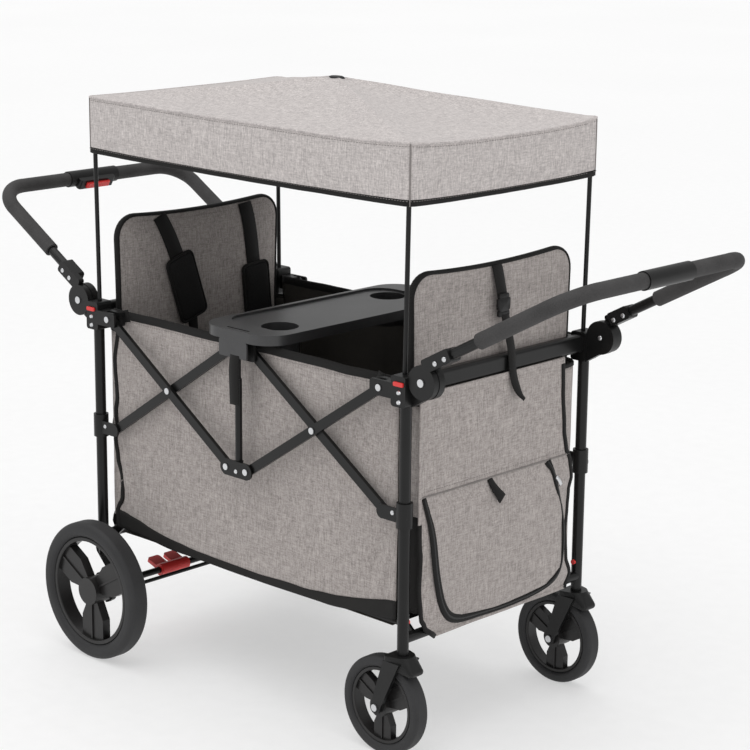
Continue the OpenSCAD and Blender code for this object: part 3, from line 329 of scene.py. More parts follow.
def join(name: str, parts: Sequence[bpy.types.Object]) -> bpy.types.Object:
    """Makes one piece of several that have one material.

    Args:
        name: Name of the new piece.
        parts: Pieces to take in, which are removed.

    Returns:
        The joined piece.
    """
    points, faces = [], []
    for part in parts:
        start = len(points)
        points += [v.co.copy() for v in part.data.vertices]
        faces += [[start + i for i in f.vertices] for f in part.data.polygons]
    piece = add_mesh(name, points, faces, parts[0].data.materials[0])
    for part in parts:
        bpy.data.objects.remove(part)
    return piece


def grid_faces(rows: int, across: int, closed: bool, first: int = 0) -> list[tuple[int, ...]]:
    """Faces between rows of points.

    Args:
        rows: Count of rows.
        across: Points in a row.
        closed: Joins the end of each row to its start.
        first: Number of the first point.

    Returns:
        The faces by the numbers of their points, row by row.
    """
    faces = []
    for r in range(rows - 1):
        low, high = first + r * across, first + (r + 1) * across
        for c in range(across if closed else across - 1):
            n = (c + 1) % across
            faces.append((low + c, low + n, high + n, high + c))
    return faces


def cloth_grid(name: str, rows: Sequence[Sequence[Vector]], finish: bpy.types.Material,
               lining: bpy.types.Material, thick: float, closed: bool = False) -> bpy.types.Object:
    """Makes a sheet of cloth with a lined back.

    Args:
        name: Name of the piece.
        rows: Points in rows from bottom to top, running anticlockwise as seen from outside.
        finish: Material of the face.
        lining: Material of the back.
        thick: Thickness in millimetres.
        closed: Joins the end of each row to its start.

    Returns:
        The sheet as one closed mesh.
    """
    points = [p for row in rows for p in row]
    faces = grid_faces(len(rows), len(rows[0]), closed)
    piece = add_mesh(name, points, faces, finish, lining)
    shell = piece.modifiers.new("Cloth thickness", "SOLIDIFY")
    shell.thickness = thick * MM
    shell.offset = -1
    shell.material_offset = 1
    shell.material_offset_rim = 1
    settle(piece)
    return piece


def loft(name: str, rings: Sequence[Sequence[Vector]], finish: bpy.types.Material) -> bpy.types.Object:
    """Skins rings of equal count into a closed piece.

    Args:
        name: Name of the piece.
        rings: Rings of points, in metres, anticlockwise as seen from the last ring's side.
        finish: Its material.

    Returns:
        The new object.
    """
    count = len(rings[0])
    points = [p for ring in rings for p in ring]
    faces = grid_faces(len(rings), count, closed=True)
    for ring, turned in ((0, True), (len(rings) - 1, False)):
        hub = len(points)
        points.append(sum(rings[ring], Vector()) / count)
        for c in range(count):
            a, b = ring * count + c, ring * count + (c + 1) % count
            faces.append((b, a, hub) if turned else (a, b, hub))
    return add_mesh(name, points, faces, finish)


def beside(run: Vector, across: Vector) -> tuple[Vector, Vector]:
    """Directions across a path that runs one way, and out of it."""
    side = (across - across.dot(run) * run).normalized()
    return side, run.cross(side)


def sweep(name: str, path: Sequence[Vector], section: Section, across: Vector,
          finish: bpy.types.Material, closed: bool = False, swell: Curve = ((0, 1),)) -> bpy.types.Object:
    """Carries an outline along a path, with UVs in metres along and round it.

    Args:
        name: Name of the piece.
        path: Points in metres.
        section: Outline in millimetres, its first axis along across.
        across: Direction that the first axis keeps to.
        finish: Its material.
        closed: Joins the last point to the first.
        swell: Scale of the outline by share of the path.

    Returns:
        The new object.
    """
    count, size = len(path), len(section)
    points, lengths = [], [0.0]
    for i, place in enumerate(path):
        ahead = path[(i + 1) % count] if closed or i + 1 < count else place
        behind = path[i - 1] if closed or i > 0 else place
        side, out = beside((ahead - behind).normalized(), across)
        scale = eased(swell, i / (count - 1)) * MM
        points += [place + (a * side + b * out) * scale for a, b in section]
        lengths.append(lengths[-1] + (path[(i + 1) % count] - place).length)
    round_it = [0.0]
    for k in range(size):
        (a, b), (c, d) = section[k], section[(k + 1) % size]
        round_it.append(round_it[-1] + math.hypot(c - a, d - b) * MM)
    faces, marks = [], []
    for i in range(count if closed else count - 1):
        j = (i + 1) % count
        for k in range(size):
            n = (k + 1) % size
            faces.append((i * size + k, i * size + n, j * size + n, j * size + k))
            marks += [(lengths[i], round_it[k]), (lengths[i], round_it[k + 1]),
                      (lengths[i + 1], round_it[k + 1]), (lengths[i + 1], round_it[k])]
    if not closed:
        faces.append(tuple(range(size))[::-1])
        marks += [(0.0, round_it[k]) for k in range(size)]
        faces.append(tuple((count - 1) * size + k for k in range(size)))
        marks += [(lengths[-1], round_it[k]) for k in range(size)]
    piece = add_mesh(name, points, faces, finish)
    layer = piece.data.uv_layers.new(name="Lengths")
    layer.data.foreach_set("uv", [value for mark in marks for value in mark])
    return piece


def stitch_row(name: str, path: Sequence[Vector], across: Vector, finish: bpy.types.Material,
               pitch: float = 7.0, length: float = 4.6, thread: float = 1.1) -> bpy.types.Object:
    """Sews a row of thread along a path.

    Args:
        name: Name of the piece.
        path: Points in metres on the cloth.
        across: Direction across the stitches, along the cloth.
        finish: Material of the thread.
        pitch: Distance from stitch to stitch, in millimetres.
        length: Length of a stitch that shows.
        thread: Thickness of the thread.

    Returns:
        The row as one piece.
    """
    points, faces = [], []
    travelled, due = 0.0, 0.0
    outline = oval(thread, thread * 0.8, 6)
    profile = ((-0.5, 0.35), (-0.25, 1.0), (0.25, 1.0), (0.5, 0.35))
    for start, stop in zip(path, path[1:]):
        step = (stop - start).length
        while step > 0 and due <= travelled + step:
            place = start.lerp(stop, (due - travelled) / step)
            run = (stop - start).normalized()
            side, out = beside(run, across)
            faces += grid_faces(len(profile), len(outline), True, len(points))
            for share, scale in profile:
                for a, b in outline:
                    points.append(place + (run * length * share + (side * a + out * b) * scale) * MM)
            due += pitch * MM
        travelled += step
    return add_mesh(name, points, faces, finish)


def domes(name: str, places: Sequence[Vector], out: Vector, radius: float, height: float,
          finish: bpy.types.Material) -> bpy.types.Object:
    """Sets domed rivet heads on a face.

    Args:
        name: Name of the piece.
        places: Middles of the heads on the face, in metres.
        out: Direction that the heads look to.
        radius: Radius of a head in millimetres.
        height: Height of a head.
        finish: Its material.

    Returns:
        All heads as one piece.
    """
    first = ALONG if abs(out.x) < 0.5 else ACROSS
    second = out.cross(first)
    profile = [(1.0, -0.15), (1.0, 0.25), (0.86, 0.62), (0.58, 0.9), (0.2, 1.0)]
    heads = []
    for place in places:
        rings = []
        for wide, tall in profile:
            rings.append([place + (first * math.cos(t) + second * math.sin(t)) * radius * wide * MM
                          + out * height * tall * MM for t in turns(16)])
        heads.append(loft(name, rings, finish))
    return join(name, heads)


def ray_tree(mesh: bpy.types.Mesh) -> BVHTree:
    """Makes a mesh ready to be met by rays."""
    return BVHTree.FromPolygons([v.co for v in mesh.vertices], [f.vertices for f in mesh.polygons])


def inflate(piece: bpy.types.Object, held: Callable[[Vector], bool], most: float) -> None:
    """Swells a closed form into a stuffed pad by cloth simulation.

    Args:
        piece: The form, about the origin, in metres.
        held: Tells which points stay where they are, such as those of the sewn rim.
        most: Furthest that a point may move, in millimetres.
    """
    remesh = piece.modifiers.new("Even cloth", "REMESH")
    remesh.mode = "VOXEL"
    remesh.voxel_size = CLOTH_VOXEL
    settle(piece)
    before = [v.co.copy() for v in piece.data.vertices]
    pins = piece.vertex_groups.new(name="Sewn rim")
    pins.add([i for i, p in enumerate(before) if held(p)], 1.0, "REPLACE")
    cloth = piece.modifiers.new("Stuffing", "CLOTH")
    cloth.settings.use_pressure = True
    cloth.settings.uniform_pressure_force = CLOTH_PRESSURE
    cloth.settings.vertex_group_mass = pins.name
    cloth.settings.effector_weights.gravity = 0.0
    scene = bpy.context.scene
    for step in range(1, CLOTH_FRAMES + 1):
        scene.frame_set(step)
    settle(piece)
    scene.frame_set(1)
    for vertex, start in zip(piece.data.vertices, before):
        move = vertex.co - start
        if move.length > most * MM:
            vertex.co = start + move.normalized() * most * MM
    smooth = piece.modifiers.new("Fine cloth", "SUBSURF")
    smooth.levels = 1
    settle(piece)
    piece.vertex_groups.clear()
    piece.data.polygons.foreach_set("use_smooth", [True] * len(piece.data.polygons))


# Finishes


def add_node(tree: bpy.types.NodeTree, kind: str, values: dict | None = None, links: dict | None = None,
             **settings: object) -> bpy.types.Node:
    """Adds a shader node.

    Args:
        tree: Node tree to add to.
        kind: Type of the node.
        values: Constants by input.
        links: Output sockets to plug in, by input.
        settings: Properties of the node.

    Returns:
        The new node.
    """
    node = tree.nodes.new(kind)
    for key, value in settings.items():
        setattr(node, key, value)
    for key, value in (values or {}).items():
        node.inputs[key].default_value = value
    for key, source in (links or {}).items():
        tree.links.new(source, node.inputs[key])
    return node


def speckle(tree: bpy.types.NodeTree, grain: float, detail: float = 2.0,
            stretch: Triple = (1, 1, 1)) -> bpy.types.NodeSocket:
    """Adds noise over the object's own coordinates.

    Args:
        tree: Node tree to add to.
        grain: Size of a blotch in millimetres.
        detail: Octaves of finer noise in it.
        stretch: How many times longer a blotch is along X, Y and Z.

    Returns:
        The socket that gives 0 to 1.
    """
    place = add_node(tree, "ShaderNodeTexCoord")
    scale = tuple(1 / (grain * MM * s) for s in stretch)
    scaled = add_node(tree, "ShaderNodeMapping", {"Scale": scale}, {"Vector": place.outputs["Object"]})
    grains = add_node(tree, "ShaderNodeTexNoise", {"Scale": 1.0, "Detail": detail},
                      {"Vector": scaled.outputs[0]})
    return grains.outputs[0]


@dataclass(frozen=True)
class Finish:
    """A surface: two tones mixed by a grain, roughness that follows it, and its bump."""

    name: str
    dark: str
    light: str
    grain: float
    rough: Pair
    bump: float
    ior: float = 1.5
    metallic: float = 0.0
    shine: float = 0.5
    # Range of the grain over which the tones change, strength of the bump, size and share of broad blotches.
    tones: Pair = (0.3, 0.7)
    relief: float = 0.6
    broad: float = 40.0
    broad_share: float = 0.45

    def start(self) -> tuple[bpy.types.Material, bpy.types.NodeTree, bpy.types.Node]:
        """Makes the material with its shader's plain values.

        Returns:
            The material, its node tree and its shader.
        """
        material = bpy.data.materials.new(self.name)
        material.use_nodes = True
        tree = material.node_tree
        shader = tree.nodes["Principled BSDF"]
        if self.metallic > 0:
            shader.inputs["Metallic"].default_value = self.metallic
        else:
            shader.inputs["IOR"].default_value = self.ior
            shader.inputs["Specular IOR Level"].default_value = self.shine
        return material, tree, shader

    def lay(self, tree: bpy.types.NodeTree, shader: bpy.types.Node, factor: bpy.types.NodeSocket,
            height: bpy.types.NodeSocket) -> None:
        """Plugs a grain into the shader's colour, roughness and bump.

        Args:
            tree: Node tree of the material.
            shader: Its shader.
            factor: Grain from 0 to 1 that mixes the tones.
            height: Relief from 0 to 1.
        """
        spread = add_node(tree, "ShaderNodeMapRange",
                          {"From Min": self.tones[0], "From Max": self.tones[1]}, {"Value": factor})
        tone = add_node(tree, "ShaderNodeMix", {6: linear(self.dark), 7: linear(self.light)},
                        {0: spread.outputs[0]}, data_type="RGBA")
        rough = add_node(tree, "ShaderNodeMapRange", {"To Min": self.rough[0], "To Max": self.rough[1]},
                         {"Value": factor})
        bump = add_node(tree, "ShaderNodeBump", {"Strength": self.relief, "Distance": self.bump * MM},
                        {"Height": height})
        tree.links.new(tone.outputs[2], shader.inputs["Base Color"])
        tree.links.new(rough.outputs[0], shader.inputs["Roughness"])
        tree.links.new(bump.outputs[0], shader.inputs["Normal"])

    def material(self) -> bpy.types.Material:
        """Builds the material from a broad and a fine grain.

        Returns:
            The material.
        """
        material, tree, shader = self.start()
        fine = speckle(tree, self.grain)
        broad = speckle(tree, self.grain * self.broad)
        both = add_node(tree, "ShaderNodeMix", {0: self.broad_share}, {2: fine, 3: broad},
                        data_type="FLOAT")
        self.lay(tree, shader, both.outputs[0], fine)
        return material


@dataclass(frozen=True)
class HeatherCloth(Finish):
    """Woven polyester of two greys of yarn, with a little sheen."""

    slub: float = 7.0
    sheen: float = 0.15
    sheen_rough: float = 0.5
    cross_share: float = 0.5
    upright_share: float = 0.4

    def material(self) -> bpy.types.Material:
        """Builds the material from slubs along the three axes, so each panel shows warp and weft.

        Returns:
            The material.
        """
        material, tree, shader = self.start()
        lengthways = speckle(tree, self.grain, stretch=(self.slub, 1, 1))
        crossways = speckle(tree, self.grain, stretch=(1, self.slub, 1))
        upright = speckle(tree, self.grain, stretch=(1, 1, self.slub))
        flat = add_node(tree, "ShaderNodeMix", {0: self.cross_share}, {2: lengthways, 3: crossways},
                        data_type="FLOAT")
        yarns = add_node(tree, "ShaderNodeMix", {0: self.upright_share}, {2: flat.outputs[0], 3: upright},
                         data_type="FLOAT")
        self.lay(tree, shader, yarns.outputs[0], yarns.outputs[0])
        shader.inputs["Sheen Weight"].default_value = self.sheen
        shader.inputs["Sheen Roughness"].default_value = self.sheen_rough
        return material


@dataclass(frozen=True)
class RibbedWebbing(Finish):
    """Woven tape whose ribs run across its length."""

    rib: float = 2.6
    sheen: float = 0.06
    waver: float = 0.6
    fuzz_share: float = 0.5

    def material(self) -> bpy.types.Material:
        """Builds the material from ribs along the tape's UVs and a little fuzz.

        Returns:
            The material.
        """
        material, tree, shader = self.start()
        marks = add_node(tree, "ShaderNodeTexCoord")
        # The wave texture repeats after tau / 20 of its scaled place.
        scale = math.tau / 20 / (self.rib * MM)
        ribs = add_node(tree, "ShaderNodeTexWave",
                        {"Scale": scale, "Distortion": self.waver, "Detail": 1.0},
                        {"Vector": marks.outputs["UV"]})
        fuzz = speckle(tree, self.grain)
        both = add_node(tree, "ShaderNodeMix", {0: self.fuzz_share}, {2: ribs.outputs[1], 3: fuzz},
                        data_type="FLOAT")
        self.lay(tree, shader, both.outputs[0], both.outputs[0])
        shader.inputs["Sheen Weight"].default_value = self.sheen
        return material


@dataclass(frozen=True)
class LitFloor(Finish):
    """A pale floor that is lit from below, so shadows on it stay weak."""

    glow: float = 0.47

    def material(self) -> bpy.types.Material:
        """Builds the material and adds its glow.

        Returns:
            The material.
        """
        material = super().material()
        shader = material.node_tree.nodes["Principled BSDF"]
        shader.inputs["Emission Color"].default_value = linear("FFFFFF")
        shader.inputs["Emission Strength"].default_value = self.glow
        return material


@dataclass(frozen=True)
class Finishes:
    """All materials of the wagon."""

    canopy: bpy.types.Material
    panel: bpy.types.Material
    pad: bpy.types.Material
    spacer: bpy.types.Material
    webbing: bpy.types.Material
    lining: bpy.types.Material
    band: bpy.types.Material
    thread: bpy.types.Material
    powder: bpy.types.Material
    plastic: bpy.types.Material
    tray: bpy.types.Material
    rim: bpy.types.Material
    foam: bpy.types.Material
    rubber: bpy.types.Material
    red: bpy.types.Material
    plated: bpy.types.Material
    coil: bpy.types.Material
    floor: bpy.types.Material

    @classmethod
    def mixed(cls) -> "Finishes":
        """Mixes every material once.

        Returns:
            The materials.
        """
        cloth_rough, moulded_bump = (0.85, 0.96), 0.1
        return cls(
            # Heathered polyester: pale and dark yarns read as a fine streaky mottle, dull with a soft sheen.
            # Yarns of half a millimetre are finer than a pixel, so slubs are drawn about four times coarser.
            canopy=HeatherCloth("Heathered polyester canopy", "918B8A", "E0D9D6", grain=2.6,
                                rough=cloth_rough, bump=0.5).material(),
            panel=HeatherCloth("Heathered polyester panel", "726B68", "C2BAB6", grain=2.5,
                               rough=cloth_rough, bump=0.5).material(),
            # The backrest pad's tones are a little darker than the panel's: painted shade from the canopy
            # over the backrest.
            pad=HeatherCloth("Heathered polyester pad", "6C6663", "BAB2AE", grain=2.5,
                             rough=cloth_rough, bump=0.5).material(),
            # Spacer mesh: black knitted air mesh of the shoulder pads, matt with small pits.
            spacer=Finish("Knitted spacer mesh", "0E0E0E", "232222", grain=2.6,
                          rough=(0.8, 0.95), bump=0.6, shine=0.25).material(),
            # Polypropylene webbing: black tape with cross ribs that catch the light; ribs drawn at 2.6 mm.
            webbing=RibbedWebbing("Polypropylene webbing", "0C0B0B", "1F1E1D", grain=1.4,
                                  rough=(0.65, 0.85), bump=0.5, shine=0.2).material(),
            # Polyurethane-coated polyester: the dark grey, slightly shiny back of the cloth.
            lining=Finish("Coated polyester lining", "34322F", "47443F", grain=2.0,
                          rough=(0.55, 0.75), bump=0.25, shine=0.3).material(),
            # Black coated polyester: the dull black band that closes the foot of the cover; low in two
            # corner gussets it also paints the shadow in the gap between the panels.
            band=Finish("Black coated polyester", "121211", "211F1E", grain=2.0,
                        rough=(0.6, 0.8), bump=0.25, shine=0.3).material(),
            # Bonded polyester thread: grey stitches near the tone of the cloth.
            thread=Finish("Bonded polyester thread", "6B6664", "8A8582", grain=1.0,
                          rough=(0.6, 0.75), bump=0.2).material(),
            # Powder-coated steel: satin black with fine orange peel.
            powder=Finish("Powder-coated steel", "0C0C0C", "171717", grain=1.6,
                          rough=(0.24, 0.38), bump=0.08, shine=0.3).material(),
            # Glass-filled nylon: moulded black with spark-eroded grain.
            plastic=Finish("Glass-filled nylon", "0E0E0E", "1A1A1A", grain=1.3,
                           rough=(0.3, 0.46), bump=moulded_bump, shine=0.3).material(),
            # Polypropylene tray: charcoal, satin and finely grained.
            tray=Finish("Grained polypropylene", "2C2C2D", "3B3B3C", grain=1.3,
                        rough=(0.26, 0.4), bump=moulded_bump, shine=0.55).material(),
            # Moulded wheel rim: charcoal nylon with a little gloss.
            rim=Finish("Moulded nylon rim", "1C1B1B", "2A2929", grain=1.4,
                       rough=(0.26, 0.42), bump=moulded_bump, shine=0.35).material(),
            # Closed-cell foam: matt charcoal with tiny pits.
            foam=Finish("Closed-cell foam", "2C2B2B", "4A4949", grain=1.6,
                        rough=(0.7, 0.9), bump=0.4, shine=0.4).material(),
            # Solid polyurethane tyre: matt grey-black, scuffed paler.
            rubber=Finish("Solid polyurethane tyre", "262627", "373738", grain=1.8,
                          rough=(0.5, 0.75), bump=0.2, shine=0.35).material(),
            # Red acetal: glossy buttons and triggers.
            red=Finish("Red acetal", "D02A2A", "E8403D", grain=1.2,
                       rough=(0.25, 0.4), bump=0.05).material(),
            # Zinc-plated steel: bright rivets with a slightly cloudy shine.
            plated=Finish("Zinc-plated steel", "C4C5C7", "E2E3E5", grain=1.0,
                          rough=(0.22, 0.42), bump=0.05, metallic=1.0).material(),
            # Nylon zip coil: a shinier black line along the tape.
            coil=Finish("Nylon zip coil", "121212", "202020", grain=1.2,
                        rough=(0.3, 0.45), bump=0.3, shine=0.35).material(),
            # Backlit acrylic floor: white, matt and almost even, bright enough to keep shadows weak.
            floor=LitFloor("Backlit acrylic floor", "AEAEAE", "B4B4B4", grain=40.0,
                           rough=(0.6, 0.75), bump=0.05).material(),
        )


# Riding, and folds in the cloth


def carry(pieces: Sequence[bpy.types.Object], body: str) -> None:
    """Lets pieces ride on a body.

    Args:
        pieces: The pieces.
        body: Body that they ride on.
    """
    for piece in pieces:
        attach(piece, body)


def crumple(pieces: Sequence[bpy.types.Object], body: str) -> None:
    """Lets pieces of the cover ride on a body, each with its own copy of its mesh.

    Args:
        pieces: The pieces.
        body: Body that they ride on.
    """
    carry(pieces, body)
    for piece in pieces:
        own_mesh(piece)


def wrapped(end: End, side: Side) -> bool:
    """Tells whether the cover is drawn round the post at a corner, as it is at two corners across."""
    return end.value * side.value < 0


def crease(x: float, z: float, folds: Sequence[tuple[float, float, float, float, float, float]]) -> float:
    """Depth of the pulled folds in a panel.

    Args:
        x: Place along the panel, counted from its middle.
        z: Height.
        folds: Each fold's two ends as X and Z, its half width and its depth.

    Returns:
        The depth in millimetres.
    """
    deep = 0.0
    for x0, z0, x1, z1, wide, depth in folds:
        run_x, run_z = x1 - x0, z1 - z0
        share = ((x - x0) * run_x + (z - z0) * run_z) / (run_x ** 2 + run_z ** 2)
        share = min(1.0, max(0.0, share))
        away = math.hypot(x - x0 - share * run_x, z - z0 - share * run_z)
        deep += depth * math.exp(-(away / wide) ** 2) * math.sin(math.pi * (0.12 + 0.76 * share))
    return deep


# Sub-assemblies


@dataclass
class Canopy:
    """The sun roof: one sheet with a valance and a hipped top, its hem, welts and vent cap."""

    finishes: Finishes
    edge_below_peak: float = 60.0
    corner: float = 16.0
    wall: float = 1.6
    sag: float = 9.0
    valley: float = 10.0
    curve: float = 1.03
    # Share of the sag by place along the roof, from the rear edge to the front one.
    sag_along: Curve = ((-1, 0.25), (0, 0.6), (1, 1.1))
    hem: float = 12.0
    hem_thick: float = 3.4
    stitch_in: float = 2.5
    welt: float = 4.2
    corner_welt: float = 3.0
    hem_rise: float = 2.5
    hem_sag: float = 4.5
    lip: float = 2.0
    belly: float = 2.6
    tuck: float = 4.0
    flutter: Ripple = Ripple(2.6, 62, 3.1)
    drift: Ripple = Ripple(1.6, 130, 6.6)
    drift_rise: float = 90.0
    puckers: Ripple = Ripple(1.8, 120, 1.7)
    # Cut of the cloth: how far it turns down past the roof, the valance alone, and the gain by the slope.
    turn_down: float = 140.0
    valance: float = 116.0
    slope_gain: float = 1.02
    # Rings of the vent cap as radius and height from the peak, and its width by its length.
    cap_rings: Curve = ((20, -9), (20, -5), (18.5, -2.4), (14, -0.7), (7, 0))
    cap_share: float = 0.62
    sides: tuple[int, int] = (46, 28)
    arc: int = 6
    valance_steps: int = 14
    roof_steps: int = 26
    # Shares of the close rows at the roof's edge, and the share where the even rows start.
    edge_shares: tuple[float, ...] = (0.998, 0.99, 0.975)
    roof_share: float = 0.95

    def __post_init__(self) -> None:
        """Reads the box of the roof."""
        self.box = Extent.of("canopy_roof")
        self.half_x = self.box.high.x
        self.half_y = self.box.high.y
        self.edge = self.box.high.z - self.edge_below_peak

    def slack(self, x: float, y: float) -> float:
        """Distance from the corners: 0 at a corner and 1 in the middle of a side."""
        share = min(abs(x) / self.half_x, abs(y) / self.half_y)
        return 1 - share ** 3

    def droop(self, x: float, slack: float) -> float:
        """Distance in millimetres that the roof's edge hangs below its corners."""
        return self.sag * slack * eased(self.sag_along, x / self.half_x)

    def valance_row(self, share: float, stand: float = 0.0) -> list[Vector]:
        """One row of the valance.

        Args:
            share: 0 at the hem and 1 at the upper edge.
            stand: Distance in front of the cloth, in millimetres.

        Returns:
            The points of the row.
        """
        row = []
        for x, y in round_ring(self.half_x, self.half_y, self.corner, self.sides, self.arc):
            slack = self.slack(x, y)
            low = self.box.low.z + self.hem_rise - self.hem_sag * slack
            high = self.edge - self.lip - self.droop(x, slack)
            wave = (1 - share) * self.flutter.at(x, y, 0) + self.drift.at(x, y, share * self.drift_rise)
            swell = self.belly * math.sin(math.pi * share) - self.tuck * (1 - share) ** 2
            out = slack * (swell + wave) + stand
            grow_x, grow_y = 1 + out / self.half_x, 1 + out / self.half_y
            z = low + (high - low) * share
            row.append(at(x * grow_x, y * grow_y, z))
        return row

    def roof_row(self, share: float) -> list[Vector]:
        """One row of the roof.

        Args:
            share: 1 at the roof's edge and 0 at the peak.

        Returns:
            The points of the row.
        """
        row = []
        for x, y in round_ring(self.half_x, self.half_y, self.corner, self.sides, self.arc):
            slack = self.slack(x, y)
            rise = self.edge_below_peak * (1 - share) ** self.curve
            hollow = self.valley * slack * 4 * share * (1 - share)
            uneven = self.puckers.at(x * share, y * share, 0) * min(1, 4 * (1 - share))
            z = self.edge + rise - self.droop(x, slack) * share - hollow + uneven
            row.append(at(x * share, y * share, z))
        return row

    def build(self) -> None:
        """Sews the roof and sets it on the poles."""
        f = self.finishes
        shares = [k / self.valance_steps for k in range(self.valance_steps + 1)]
        rows = [self.valance_row(s) for s in shares]
        rows += [self.roof_row(s) for s in self.edge_shares]
        rows += [self.roof_row(self.roof_share * (1 - k / self.roof_steps)) for k in range(self.roof_steps)]
        sheet = cloth_grid("canopy_sheet", rows, f.canopy, f.lining, self.wall, closed=True)
        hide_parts("canopy_roof")
        pieces = [sheet]
        tape = strip(self.hem, self.hem_thick)
        hem_path = [p + UP * self.hem / 2 * MM for p in self.valance_row(0.0, 0.2)]
        pieces.append(sweep("canopy_hem", hem_path, tape, UP, f.webbing, closed=True))
        welt_path = [p + UP * 1.2 * MM for p in self.valance_row(1.0, 0.4)]
        bead = oval(self.welt, self.welt, 8)
        pieces.append(sweep("canopy_edge_welt", welt_path, bead, UP, f.canopy, closed=True))
        hem_stitches = [p + UP * (self.hem - self.stitch_in) * MM for p in self.valance_row(0.0, 2.2)]
        pieces.append(stitch_row("canopy_hem_stitches", hem_stitches, UP, f.thread))
        pieces.append(stitch_row("canopy_edge_stitches", self.valance_row(0.955, 0.2), UP, f.thread))
        rows = [self.valance_row(s, 0.5) for s in shares]
        long_side, short_side = (count - 1 for count in self.sides)
        starts = [k * (self.arc + 1) + long_side * ((k + 1) // 2) + short_side * (k // 2) for k in range(4)]
        bead = oval(self.corner_welt, self.corner_welt, 8)
        for k, start in enumerate(starts):
            seam = [row[start + self.arc // 2] for row in rows]
            out = Vector((seam[0].x - MID_X, seam[0].y, 0)).normalized()
            pieces.append(sweep(f"canopy_corner_welt_{k + 1}", seam, bead, out, f.thread))
        pieces.append(self.vent_cap())
        crumple(pieces, "canopy")

    def vent_cap(self) -> bpy.types.Object:
        """Moulds the oval cap at the peak.

        Returns:
            The cap.
        """
        top = self.box.high.z
        rings = []
        for radius, down in self.cap_rings:
            ring = oval(2 * radius, 2 * radius * self.cap_share, 24)
            rings.append([at(x, y, top + down) for x, y in ring])
        return loft("canopy_vent_cap", rings, self.finishes.plastic)


